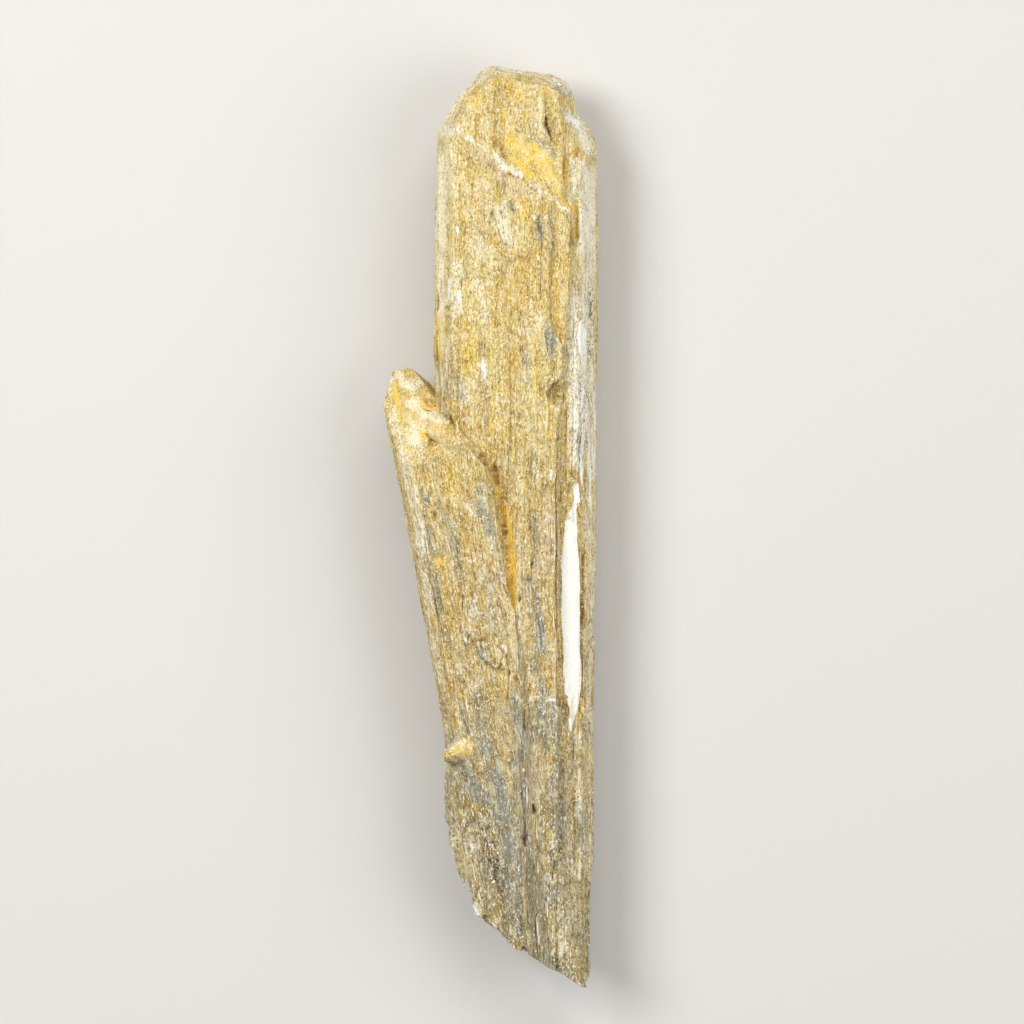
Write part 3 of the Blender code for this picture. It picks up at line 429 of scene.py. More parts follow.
        [(8.2, -46.4, 0.2), (9.2, -48.8, 0.3)], [(0.4, -47.0, 0.1), (1.6, -52.4, 0.2)],
        [(6.2, -57.6, 0.15), (6.5, -60.0, 0.15)], [(3.6, -50.0, 0.1), (3.9, -54.0, 0.15)]]),
    # Black-grey peppering of leftover sulphide.
    "soot": (1.0, [
        [(14.3, 32.4, 0.5), (14.2, 23.0, 0.5)], [(13.0, 20.0, 0.5), (13.6, 16.0, 0.6), (13.0, 12.4, 0.7)],
        [(10.4, 24.4, 0.4), (10.7, 20.0, 0.3)], [(11.8, 13.0, 0.3), (12.9, 9.6, 0.4)],
        [(-5.8, 31.0, 0.4), (-5.6, 28.0, 0.3)], [(6.0, -45.0, 0.4), (6.0, -57.0, 0.5)],
        [(-1.6, -41.0, 1.2), (1.0, -50.0, 1.4), (2.4, -55.0, 0.8)],
        [(9.6, -46.4, 0.8), (8.0, -52.0, 1.0)], [(5.4, -21.0, 0.4), (5.6, -30.0, 0.4)],
        [(7.6, -60.0, 0.6), (10.0, -62.4, 0.5)]]),
}


def paint(strokes, feather):
    """How strongly each point is covered by the strokes, from 0 to 1, on the faces that look up."""
    strength = np.zeros(len(place))
    for stroke in strokes:
        for (ax, ay, a_half), (bx, by, b_half) in zip(stroke, stroke[1:]):
            start = np.array((ax, ay))
            run = np.array((bx, by)) - start
            along = np.clip((loose - start) @ run / max(run @ run, 1e-6), 0, 1)
            gap = np.linalg.norm(loose - start - along[:, None] * run, axis=1)
            gap -= a_half + along * (b_half - a_half)
            strength = np.maximum(strength, np.clip(0.5 - gap / feather, 0, 1))
    return strength * front


# The jitter: its size and reach in millimetres, and a seed, so that every run gives the same edges.
WAVE_SIZE = (1.2, 5.0, 1.2)
WAVE_REACH = (0.3, 0.9)
noise.seed_set(3)
front = smooth(facing[:, 2], -0.2, 0.15) * smooth(place[:, 2], 3.0, 6.0)
waves = [noise.noise_vector(Vector(point))[:2] for point in place / WAVE_SIZE]
loose = place[:, :2] + WAVE_REACH * np.array(waves)
for name, (feather, strokes) in STAINS_AND_PAINTED_LIGHT.items():
    mark(skin.data, name, paint(strokes, feather))
    print(name, "strokes:", len(strokes))

# %% [markdown]
# Thin sheets have scaled off the front, and cracks run between what is left. A sheet is an outline
# in (x, y), with how far it stands above or below its surroundings. A crack is a stroke again.

# %% Sheets and cracks
SHEETS = [
    (-0.3, [(-1.6, 9.4), (0.0, 6.4), (1.0, 2.6), (2.0, -3.4), (3.1, -11.8), (3.7, -11.8), (3.6, -4.0),
             (3.2, 2.6), (1.8, 5.8), (0.4, 9.4)]),
    (0.16, [(-6.2, 38.4), (-3.6, 40.6), (-0.8, 38.6), (-0.3, 33.0), (-0.2, 28.6), (-1.6, 26.8),
             (-4.6, 25.4), (-6.3, 28.0)]),
    (0.14, [(0.6, 43.4), (2.2, 45.8), (4.4, 45.4), (5.6, 44.0), (3.6, 40.6), (2.6, 38.6), (1.2, 39.4)]),
    (-0.26, [(7.0, 38.6), (7.0, 31.0), (8.6, 28.6), (9.4, 26.9), (10.2, 25.7), (10.4, 21.6),
             (10.2, 14.5), (9.7, 6.0), (9.5, -25.0), (10.6, -30.0), (11.6, -30.0), (11.4, 30.0),
             (11.2, 39.0)]),
    (0.22, [(-4.3, -5.4), (-1.6, -4.6), (0.6, -6.2), (1.6, -11.0), (2.2, -15.6), (0.2, -16.2),
             (-1.8, -16.2), (-3.6, -17.2), (-4.6, -14.0), (-3.6, -10.4)]),
    (0.2, [(-1.7, -16.6), (0.6, -17.2), (2.2, -18.2), (2.7, -21.0), (2.3, -25.2), (1.0, -27.6),
             (-0.8, -24.0)]),
    (0.14, [(5.0, 29.0), (7.8, 28.6), (9.8, 25.6), (9.9, 21.0), (7.9, 18.4), (5.6, 19.6), (4.8, 24.0)]),
    (-0.22, [(11.9, 45.8), (12.6, 45.4), (12.6, 40.2), (11.8, 40.2)]),
    (0.18, [(0.8, 52.6), (2.6, 50.4), (5.2, 48.9), (7.0, 47.0), (6.4, 46.4), (2.4, 49.0), (0.2, 51.0)]),
    (-0.2, [(5.9, -8.4), (7.2, -8.8), (7.6, -18.4), (6.4, -18.8)]),
    (0.16, [(7.4, -45.2), (10.8, -44.2), (11.4, -50.6), (8.6, -51.4), (6.6, -49.8)]),
    (-0.25, [(-3.4, -38.0), (-0.6, -39.6), (0.4, -44.0), (1.8, -50.0), (2.4, -56.4), (-0.6, -56.0),
             (-3.4, -44.0)]),
    (0.15, [(9.6, -55.0), (11.0, -54.6), (11.2, -60.6), (9.2, -61.0)]),
]
CRACKS = [
    [(7.9, 57.2, 0.05), (8.2, 55.9, 0.1), (8.8, 54.4, 0.06)], [(10.55, 51.6, 0.08), (10.55, 46.5, 0.12)],
    [(11.45, 41.0, 0.12), (11.4, 37.6, 0.15)], [(2.2, 49.4, 0.1), (4.2, 48.4, 0.12)],
    [(4.8, 48.1, 0.12), (6.8, 46.3, 0.15)], [(6.4, 49.2, 0.08), (8.4, 46.9, 0.12)],
    [(7.15, 39.8, 0.1), (7.2, 31.4, 0.12)], [(9.7, 12.0, 0.08), (9.45, 6.0, 0.12), (9.5, -26.0, 0.12)],
    [(13.35, -4.6, 0.2), (13.3, -20.0, 0.22), (12.9, -26.6, 0.2)],
    [(-1.7, -16.4, 0.1), (0.8, -17.3, 0.12), (2.3, -18.2, 0.15), (2.8, -21.0, 0.12), (2.4, -25.2, 0.12)],
    [(-3.6, -9.4, 0.12), (-3.9, -12.6, 0.15)], [(-2.5, -7.0, 0.1), (-1.8, -8.9, 0.12)],
    [(-4.5, -14.2, 0.1), (-3.7, -15.8, 0.12)], [(1.5, 4.4, 0.02), (2.1, -1.5, 0.04)],
    [(2.3, 3.0, 0.02), (2.8, -4.0, 0.04)], [(3.7, 3.0, 0.04), (3.75, -6.0, 0.04)],
    [(-0.6, 8.0, 0.04), (1.3, 1.6, 0.06), (2.6, -7.0, 0.04)],
    [(-4.4, -6.0, 0.08), (-4.0, -8.4, 0.12), (-4.6, -11.6, 0.1), (-4.0, -14.4, 0.12),
     (-3.0, -15.8, 0.12), (-1.6, -16.6, 0.1)], [(-4.2, -5.8, 0.08), (-2.8, -4.2, 0.1)],
    [(-1.0, 34.6, 0.06), (-0.6, 30.0, 0.06), (-0.4, 26.8, 0.06)],
    [(0.6, 43.0, 0.1), (1.4, 40.2, 0.12), (3.0, 38.6, 0.12)],
    [(2.6, 54.3, 0.05), (5.2, 56.3, 0.04), (6.5, 56.1, 0.04), (8.1, 53.9, 0.06), (10.3, 52.6, 0.04)],
    [(4.6, 44.8, 0.05), (6.2, 42.6, 0.06)], [(4.9, -26.6, 0.15), (4.9, -29.8, 0.15)],
    [(4.9, -44.0, 0.05), (5.3, -49.0, 0.08), (5.4, -58.0, 0.1)], [(6.6, -55.0, 0.15), (6.7, -60.0, 0.15)],
    [(8.6, -34.0, 0.06), (8.8, -42.0, 0.08)], [(-4.4, -25.8, 0.04), (-2.8, -30.6, 0.06)],
    [(0.4, -33.0, 0.06), (1.6, -42.0, 0.08)], [(4.9, -36.4, 0.06), (4.9, -44.0, 0.1)],
    [(10.9, 46.2, 0.1), (11.3, 45.4, 0.1)], [(-6.4, 16.6, 0.12), (-5.2, 13.6, 0.2)],
    [(11.9, -30.0, 0.01), (12.1, -48.0, 0.02)], [(-9.4, -2.0, 0.12), (-7.4, -14.0, 0.12)],
    [(0.9, 57.4, 0.04), (0.5, 54.8, 0.04)],
]


def inside(outline, feather):
    """1 within an outline and 0 outside, with a slope as wide as feather at the rim."""
    nearest = np.full(len(loose), np.inf)
    within = np.zeros(len(loose), bool)
    for (ax, ay), (bx, by) in zip(outline, outline[1:] + outline[:1]):
        run = np.array((bx - ax, by - ay))
        off = loose - (ax, ay)
        along = np.clip(off @ run / (run @ run), 0, 1)
        nearest = np.minimum(nearest, np.linalg.norm(off - along[:, None] * run, axis=1))
        crosses = (ay > loose[:, 1]) != (by > loose[:, 1])
        within ^= crosses & (off[:, 0] < (loose[:, 1] - ay) * (bx - ax) / (by - ay + 1e-9))
    return np.clip(0.5 + np.where(within, nearest, -nearest) / feather, 0, 1)


CRACK_DEPTH = 0.5
RIM_WIDTH = 0.3
cracks = paint(CRACKS, RIM_WIDTH)
carved = -CRACK_DEPTH * cracks
for height, outline in SHEETS:
    carved += height * inside(outline, RIM_WIDTH) * front
mark(skin.data, "carved", carved)
mark(skin.data, "crack", cracks)
print("sheets:", len(SHEETS), " cracks:", len(CRACKS))

# %% [markdown]
# The foot and the tip are broken and sugary, the tile under the tip is smooth, and the long faces
# are fibrous. `rough` says how hackly a point is, `fibrous` how much its needles show, `shaggy` how
# many splinters lie there, `flaky` how much thin scale it carries, and `quiet` how even its colour
# is. `low` and `foot` follow the stone down to its dull, grey end, and `crumbly` is where loose
# grains have gathered.

# %% Rough, calm and fibrous places
CALM = [[(4.0, 53.8, 1.2), (8.0, 51.0, 2.0), (9.4, 48.6, 1.0)], [(11.4, -2.0, 0.9), (11.3, -24.0, 1.0)],
        [(-6.9, 51.0, 0.5), (-7.0, 38.0, 0.5)], [(3.6, 50.8, 0.4), (10.6, 45.4, 0.4)],
        [(0.9, -33.6, 0.5), (1.8, -40.0, 0.7), (2.6, -46.0, 0.7)]]
GRAINS_GATHER = [[(-4.6, 56.2, 0.5), (1.8, 53.6, 0.6)],
                 [(1.0, 51.4, 0.5), (6.4, 47.0, 0.5)], [(-3.0, 59.5, 1.0), (9.4, 60.5, 1.4)],
                 [(8.0, 57.0, 0.7), (9.0, 54.0, 0.8)], [(11.0, 55.0, 1.0), (14.0, 51.4, 0.6)],
                 [(12.6, 31.0, 0.8), (13.4, 13.0, 0.8)], [(13.4, 3.0, 0.4), (13.2, -28.0, 0.6)],
                 [(-8.6, 17.2, 0.8), (-6.4, 14.4, 0.6)], [(-8.0, 11.4, 0.8)] * 2, [(9.0, 18.4, 1.0)] * 2,
                 [(-4.6, -36.4, 0.8), (-3.4, -38.0, 0.8)], [(9.0, -46.0, 3.0), (9.6, -52.0, 2.4)],
                 [(-1.6, -41.0, 1.4), (1.0, -50.0, 1.6)], [(5.0, -58.0, 1.2), (12.6, -63.6, 1.6)]]
QUIET = [[(-13.0, 20.0, 1.2), (-10.0, 14.0, 2.6)], [(-9.0, 17.0, 1.6), (-7.0, 12.6, 1.6)],
         [(14.0, 50.0, 1.2), (14.0, 36.0, 1.2)], [(-6.9, 54.0, 0.6), (-7.0, 24.0, 0.6)],
         [(3.0, 53.6, 1.4), (8.0, 51.0, 2.2), (9.4, 48.6, 1.2)],
         [(12.6, 55.4, 1.0), (13.8, 53.0, 0.8)], [(-4.7, -31.6, 1.0), (-3.4, -32.2, 0.8)]]
NO_SPLINTERS_FROM_Y = 50.0
calm = paint(CALM, 0.8)
rough = np.clip(smooth(-place[:, 1], 28.0, 44.0) * 0.7 + smooth(place[:, 1], 53.0, 57.0) * 0.35
                + smooth(facing[:, 1], 0.15, 0.5) * 0.2, 0, 1) * (1 - calm)
lean_x, lean_y = -math.sin(SIDE_LEAN), math.cos(SIDE_LEAN)
along_prism = facing[:, 1] * (1 - side) + (facing[:, 0] * lean_x + facing[:, 1] * lean_y) * side
fibrous = (1 - smooth(np.abs(along_prism), 0.15, 0.45)) * (1 - 0.9 * calm)
fibrous *= 1 - 0.6 * smooth(place[:, 1], 12.0, 30.0)
shaggy = (1 - smooth(np.abs(along_prism), 0.02, 0.12)) * (1 - calm)
shaggy *= 0.15 + 0.85 * smooth(-place[:, 1], -16.0, 6.0)
shaggy[place[:, 1] > NO_SPLINTERS_FROM_Y] = 0
crumbly = 0.10 * smooth(facing[:, 2], 0.0, 0.4) + 0.2 * rough
crumbly = np.maximum(paint(GRAINS_GATHER, 1.0), crumbly)
for name, value in (("rough", rough), ("fibrous", 0.06 + 0.94 * fibrous), ("flaky", 1 - calm),
                    ("crumbly", crumbly), ("shaggy", shaggy),
                    ("low", smooth(-place[:, 1], -20.0, 14.0)),
                    ("foot", smooth(-place[:, 1], 14.0, 40.0)),
                    ("quiet", np.maximum(paint(QUIET, 1.0), calm))):
    mark(skin.data, name, value)
print("rough share:", round(float(rough.mean()), 2), " calm share:", round(float(calm.mean()), 3))

# %% [markdown]
# ## Fibres
# A stibnite prism is a bundle of needles. Weathering opens the seams between them, and some break
# short. Voronoi cells stretched along the prism do just that: every cell is one needle, the
# distance to the cell's edge is the seam, and the cell's random colour is its own height or tone.
# One function lays this pattern in a geometry tree or in a shader, so that the seams that are cut
# into the skin are the seams that are dark in its colour.

# %% The needle pattern
def needles(tree, grain, width, length, shift):
    """(distance to the nearest seam, in widths, and a random number for each needle)."""
    slow = add(tree, VECTOR, {0: grain, 1: (0.35, 0.05, 0.35)}, operation="MULTIPLY")
    drift = add(tree, NOISE, {"Vector": slow, "Scale": 1.0, "Detail": 2.0}, out="Color")
    drift = add(tree, VECTOR, {0: drift, 1: (0.5, 0.5, 0.5)}, operation="SUBTRACT")
    drift = add(tree, VECTOR, {0: drift, "Scale": width ** 0.5}, operation="SCALE")
    bent = add(tree, VECTOR, {0: grain, 1: drift}, operation="ADD")
    cell = add(tree, VECTOR, {0: bent, 1: (1 / width, 1 / length, 1 / width), 2: (shift, shift, shift)},
               operation="MULTIPLY_ADD")
    seam = add(tree, VORONOI, {"Vector": cell, "Scale": 1.0}, feature="DISTANCE_TO_EDGE")
    tone = add(tree, VORONOI, {"Vector": cell, "Scale": 1.0}, out="Color", feature="F1")
    tone = add(tree, "ShaderNodeSeparateXYZ", {0: tone})
    return seam, tone


def flakes(tree, grain, across, along, shift):
    """1 where a thin scab of crust is left, 0 where it has flaked off, with a short ragged step."""
    at = add(tree, VECTOR, {0: grain, 1: (1 / across, 1 / along, 1 / across), 2: (shift, shift, shift)},
             operation="MULTIPLY_ADD")
    field = add(tree, NOISE, {"Vector": at, "Scale": 1.0, "Detail": 4.0, "Roughness": 0.6,
                              "Distortion": 0.4})
    return add(tree, RANGE, {0: field, 1: 0.495, 2: 0.525}, interpolation_type="SMOOTHSTEP")


# Each pattern: its width and length in millimetres, and a shift that keeps it from the others.
RIB = (1.15, 60.0, 0.0)
NEEDLE = (0.42, 16.0, 7.3)
SHARD = (0.34, 0.6, 31.0)
CRACKLE = (0.5, 0.95, 61.0)
BIG_FLAKE = (3.0, 8.0, 5.0)
SMALL_FLAKE = (1.1, 2.6, 17.0)
print("ribs", RIB[0], "mm wide, needles", NEEDLE[0], "mm wide")

# %% [markdown]
# ## Weathering the skin
# A Geometry Nodes tree moves each point of the skin along its normal: down at seams and pits, up or
# down by needle, and a little by grain. A modelling brush could do it by hand, but a rule is even
# over the whole stone and can be tuned by a few named sizes, all in millimetres. The tree also
# keeps what the shader needs: `grain`, the place in the prism's own upright frame, `edge`, how far
# a point stands proud of its close neighbours, and `hollow`, how deep it lies among wider ones.

# %% A tree with named sizes
def new_tree(name, sizes):
    """An empty Geometry Nodes tree, its group input node, and each named size's identifier."""
    tree = bpy.data.node_groups.new(name, "GeometryNodeTree")
    tree.interface.new_socket("Geometry", in_out="OUTPUT", socket_type="NodeSocketGeometry")
    tree.interface.new_socket("Geometry", in_out="INPUT", socket_type="NodeSocketGeometry")
    keys = {}
    for label, value in sizes.items():
        kind = "NodeSocketInt" if isinstance(value, int) else "NodeSocketFloat"
        keys[label] = tree.interface.new_socket(label, in_out="INPUT", socket_type=kind).identifier
    return tree, tree.nodes.new("NodeGroupInput"), keys


def grow(obj, tree, keys, sizes):
    """Runs a tree on an object with the given sizes and leaves a plain mesh."""
    modifier = obj.modifiers.new(tree.name, "NODES")
    modifier.node_group = tree
    for label, value in sizes.items():
        modifier[keys[label]] = value
    obj.data = evaluated_mesh(obj)


# %% Ribs and needles
# Broad ribs and the fine needles in them each stand at a height of their own, with a seam around.
WEATHER = {"Rib Relief": 0.22, "Rib Seam": 0.15, "Needle Relief": 0.09, "Needle Seam": 0.06,
           "Grain": 0.12, "Pit Depth": 0.28, "Swell": 0.25, "Flake": 0.12}
weather, sizes, weather_keys = new_tree("weather the skin", WEATHER)
size = sizes.outputs
known = {name: add(weather, "GeometryNodeInputNamedAttribute", {"Name": name}, data_type="FLOAT")
         for name in ("side", "fibrous", "rough", "flaky", "carved")}
here = add(weather, "GeometryNodeInputPosition")
upright = add(weather, VECTOR, {0: here, "Scale": 1 / MM}, operation="SCALE")
turned = add(weather, "ShaderNodeVectorRotate", {"Vector": upright, "Angle": -SIDE_LEAN},
             rotation_type="Z_AXIS")
grain = add(weather, MIX, {0: known["side"], 4: upright, 5: turned}, out=1, data_type="VECTOR")
# How near a seam its slope begins, in widths, and how the slope runs.
SLOPES = {"Rib": (RIB, 0.16, "SMOOTHSTEP"), "Needle": (NEEDLE, 0.3, "LINEAR")}
rises = {}
for name, (pattern, seam_to, blending) in SLOPES.items():
    seam, tone = needles(weather, grain, *pattern)
    cut = add(weather, RANGE, {0: seam, 1: 0.0, 2: seam_to, 3: -1.0, 4: 0.0},
              interpolation_type=blending)
    cut = add(weather, MATH, {0: cut, 1: size[name + " Seam"]}, operation="MULTIPLY")
    rise = add(weather, MATH, {0: tone, 1: -0.5}, operation="ADD")
    rises[name] = add(weather, MATH, {0: rise, 1: size[name + " Relief"], 2: cut},
                      operation="MULTIPLY_ADD")
print("moved by:", ", ".join(rises))

# %% Grit, pits and swell
# How many lumps go to a millimetre across and along, how finely they break up, and how roughly.
LUMPS = {"grit": (1.9, 0.9, 3.0, 0.6), "pit": (0.95, 0.42, 2.0, 0.5),
         "swell": (0.22, 0.06, 1.0, 0.5), "patch": (0.22, 0.09, 2.0, 0.5)}
lumps = {}
for name, (across, along, detail, roughness) in LUMPS.items():
    at = add(weather, VECTOR, {0: grain, 1: (across, along, across)}, operation="MULTIPLY")
    lumps[name] = add(weather, NOISE, {"Vector": at, "Scale": 1.0, "Detail": detail,
                                       "Roughness": roughness})
grit = add(weather, MATH, {0: lumps["grit"], 1: -0.5}, operation="ADD")
hackly = add(weather, MATH, {0: known["rough"], 1: 4.0, 2: 1.0}, operation="MULTIPLY_ADD")
grit = add(weather, MATH, {0: grit, 1: hackly}, operation="MULTIPLY")
grit = add(weather, MATH, {0: grit, 1: size["Grain"]}, operation="MULTIPLY")
pit = add(weather, RANGE, {0: lumps["pit"], 1: 0.63, 2: 0.73, 3: 0.0, 4: -1.0},
          interpolation_type="SMOOTHSTEP")
pit = add(weather, MATH, {0: pit, 1: size["Pit Depth"]}, operation="MULTIPLY")
swell = add(weather, MATH, {0: lumps["swell"], 1: -0.5}, operation="ADD")
swell = add(weather, MATH, {0: swell, 1: size["Swell"]}, operation="MULTIPLY")
patch = add(weather, RANGE, {0: lumps["patch"], 1: 0.38, 2: 0.60, 3: 0.15, 4: 1.0},
            interpolation_type="SMOOTHSTEP")
print("kinds of lump:", ", ".join(LUMPS))

# %% How far each point moves
# All the patterns are added up. Close to the table they fade, so that the stone still lies flat.
rise = add(weather, MATH, {0: rises["Needle"], 1: patch}, operation="MULTIPLY")
rise = add(weather, MATH, {0: rises["Rib"], 1: rise}, operation="ADD")
rise = add(weather, MATH, {0: rise, 1: pit}, operation="ADD")
rise = add(weather, MATH, {0: rise, 1: known["fibrous"], 2: swell}, operation="MULTIPLY_ADD")
rise = add(weather, MATH, {0: rise, 1: grit}, operation="ADD")
scab = add(weather, MATH, {0: flakes(weather, grain, *BIG_FLAKE), 1: size["Flake"]},
           operation="MULTIPLY")
scale = add(weather, MATH, {0: size["Flake"], 1: 0.5}, operation="MULTIPLY")
scab = add(weather, MATH, {0: flakes(weather, grain, *SMALL_FLAKE), 1: scale, 2: scab},
           operation="MULTIPLY_ADD")
rise = add(weather, MATH, {0: scab, 1: known["flaky"], 2: rise}, operation="MULTIPLY_ADD")
rise = add(weather, MATH, {0: rise, 1: known["carved"]}, operation="ADD")
level = add(weather, "ShaderNodeSeparateXYZ", {0: upright}, out="Z")
near_table = add(weather, RANGE, {0: level, 1: 0.0, 2: 1.2, 3: 0.25, 4: 1.0})
rise = add(weather, MATH, {0: rise, 1: near_table}, operation="MULTIPLY")
rise = add(weather, MATH, {0: rise, 1: MM}, operation="MULTIPLY")
outward = add(weather, "GeometryNodeInputNormal")
push = add(weather, VECTOR, {0: outward, "Scale": rise}, operation="SCALE")

shape = add(weather, "GeometryNodeStoreNamedAttribute",
            {0: size["Geometry"], "Name": "grain", "Value": grain}, data_type="FLOAT_VECTOR",
            domain="POINT")
shape = add(weather, "GeometryNodeSetPosition", {0: shape, "Offset": push})
above_table = add(weather, VECTOR, {0: here, 1: (-1.0, -1.0, 0.0)}, operation="MAXIMUM")
shape = add(weather, "GeometryNodeSetPosition", {0: shape, "Position": above_table})
print("nodes in the weathering tree:", len(weather.nodes))

# %% Edges and hollows
# A point's place against the mean of its neighbours tells whether it stands proud. Few rounds of
# averaging find sharp edges, many find deep hollows.
for label, rounds, reach in (("edge", 3, 0.05), ("hollow", 60, 0.5)):
    around = add(weather, "GeometryNodeBlurAttribute", {"Value": here, "Iterations": rounds},
                 data_type="FLOAT_VECTOR")
    proud = add(weather, VECTOR, {0: here, 1: around}, operation="SUBTRACT")
    proud = add(weather, VECTOR, {0: proud, 1: outward}, out="Value", operation="DOT_PRODUCT")
    proud = add(weather, MATH, {0: proud, 1: 1 / (reach * MM)}, operation="MULTIPLY")
    shape = add(weather, "GeometryNodeStoreNamedAttribute", {0: shape, "Name": label, "Value": proud},
                data_type="FLOAT", domain="POINT")
shape = add(weather, "GeometryNodeSetShadeSmooth", {0: shape, "Shade Smooth": True})
add(weather, "NodeGroupOutput", {0: shape})
grow(skin, weather, weather_keys, WEATHER)

# The thinned back has points too far apart to tell, and the cleft's bright ochre gets neither the
# painted highlight on proud edges nor the rust of the hollows.
open_face = front * smooth(place[:, 2], 5.0, 9.0) * (1 - paint(STAINS_AND_PAINTED_LIGHT["saffron"][1], 1.2))
for name in ("edge", "hollow"):
    proud = numbers(skin.data.attributes[name].data, "value", 1)[:, 0] * open_face
    skin.data.attributes[name].data.foreach_set("value", proud.astype(np.float32))
    print(name, "from", np.percentile(proud, 2).round(2), "to", np.percentile(proud, 98).round(2))

# %% [markdown]
# ## The crust's finish
# Antimony ochre (stibiconite and cervantite) is an earthy, dull powder bound to a crust. It is
# straw to cream, with deep yellow where iron has washed in, blue-grey where the harder core shows,
# chalk white where it is pure, and brown in the seams. The crust has no gloss but for tiny broken
# needle faces that glint. Colour, dullness and bump all follow the needles.

# %% Colours of the stone
STRAW = linear("#dfc46f")
PALE = linear("#f3e6b0")
TAN = linear("#ccae5e")
DULL_TAN = linear("#caae6f")
FOOT_GREY = linear("#918b72")
HONEY = linear("#eecc5c")
OCHRE = linear("#dab24c")
SAFFRON = linear("#f5c63a")
ROSE = linear("#dfc6a0")
UMBER = linear("#75500f")
LOAM = linear("#857552")
SLATE = linear("#8b9085")
ASH = linear("#f3eed8")
CREAM = linear("#f6ecc9")
CHALK = linear("#fbfaf0")
SOOT = linear("#3c3629")
RUST = linear("#a88a40")
SHADE = linear("#c2b592")
GRAPHITE = linear("#6f746f")


def layered(tree, colour, coats):
    """Lays coats of colour over one another. Each lies where its value passes from low to high."""
    for coat, strength, value, low, high, gate, blend in coats:
        amount = add(tree, RANGE, {0: value, 1: low, 2: high}, interpolation_type="SMOOTHSTEP")
        amount = add(tree, MATH, {0: amount, 1: strength}, operation="MULTIPLY")
        amount = add(tree, MATH, {0: amount, 1: gate}, operation="MULTIPLY")
        colour = add(tree, MIX, {0: amount, 6: colour, 7: coat}, out=2, data_type="RGBA",
                     blend_type=blend)
    return colour


def new_finish(name):
    """A material named for a real finish, and its node tree, still empty."""
    finish = bpy.data.materials.new(name)
    finish.use_nodes = True
    finish.node_tree.nodes.clear()
    return finish, finish.node_tree


print("straw in linear light:", [round(part, 2) for part in STRAW])

# %% Antimony ochre crust
# Antimony ochre: earthy oxide grown in place of the sulphide. The eye sees a dry, chalky surface
# with fine streaks along the prism.
crust, tree = new_finish("antimony_ochre_crust")
grain = add(tree, "ShaderNodeAttribute", out="Vector", attribute_name="grain")
seen = {name: add(tree, "ShaderNodeAttribute", out="Fac", attribute_name=name)
        for name in (*STAINS_AND_PAINTED_LIGHT, "crack", "low", "foot", "rough", "fibrous", "quiet", "edge", "hollow")}

# Streaks are noise drawn out along the prism: size across and along in millimetres, detail, and a
# shift that keeps them apart. Real fibres are finer than the finest here, which are drawn as coarse
# as they need to be to show.
STREAKS = {"broad": (3.2, 26.0, 3.0, 0.0), "middle": (0.9, 7.0, 4.0, 11.0),
           "fine": (0.24, 2.6, 2.0, 23.0), "fray": (0.7, 3.4, 5.0, 37.0),
           "cloud": (2.2, 5.5, 5.0, 51.0), "speck": (0.2, 0.34, 1.0, 71.0),
           "mottle": (0.22, 0.75, 2.0, 91.0), "blotch": (1.4, 2.6, 5.0, 113.0)}
streaks = {}
for name, (across, along, detail, shift) in STREAKS.items():
    at = add(tree, VECTOR, {0: grain, 1: (1 / across, 1 / along, 1 / across), 2: (shift, shift, shift)},
             operation="MULTIPLY_ADD")
    streaks[name] = add(tree, NOISE, {"Vector": at, "Scale": 1.0, "Detail": detail, "Roughness": 0.6})
rib_seam, rib_tone = needles(tree, grain, *RIB)
shard_tone = needles(tree, grain, *SHARD)[1]
crackle_seam = needles(tree, grain, *CRACKLE)[0]
print("kinds of streak:", len(STREAKS))

# %% [markdown]
# The colour is laid in thin coats, as a painter would. A coat lies where some pattern or stain is
# strong, and a gate may hold it back: dark shards, for one, belong to broken places only.

# %% Where each coat may lie
# Each gate is an even slope: the value it follows, from where to where, and its least and most.
GATES = {"some": (streaks["cloud"], 0.40, 0.62, 0.0, 1.0),
         "rest": (streaks["cloud"], 0.60, 0.42, 0.0, 1.0),
         "lumpy": (streaks["cloud"], 0.36, 0.56, 0.25, 1.0),
         "lively": (seen["quiet"], 1.0, 0.0, 0.3, 1.0),
         "needly": (seen["fibrous"], 0.0, 1.0, 0.2, 1.0),
         "above foot": (seen["foot"], 0.0, 1.0, 1.0, 0.5),
         "lower": (seen["low"], 0.0, 1.0, 0.4, 1.0)}
gates = dict(seen)
for name, (value, low, high, least, most) in GATES.items():
    gates[name] = add(tree, RANGE, {0: value, 1: low, 2: high, 3: least, 4: most},
                      interpolation_type="SMOOTHSTEP")
# A gate of two others lets a coat through only where both do.
for name, one, other in (("fine lines", "lively", "needly"), ("lined", "fine lines", "above foot"),
                         ("broken", "rough", "lumpy"), ("dark broken", "broken", "low"),
                         ("crazed", "lively", "rest"), ("opened", "fibrous", "some")):
    gates[name] = add(tree, MATH, {0: gates[one], 1: gates[other]}, operation="MULTIPLY")


def torn(name, weight):
    """A stain whose soft edge is torn along the fibres."""
    ragged = add(tree, MATH, {0: streaks["fray"], 1: -0.5}, operation="ADD")
    return add(tree, MATH, {0: ragged, 1: weight * 2, 2: seen[name]}, operation="MULTIPLY_ADD")


print("gates:", ", ".join(name for name in gates if name not in seen))

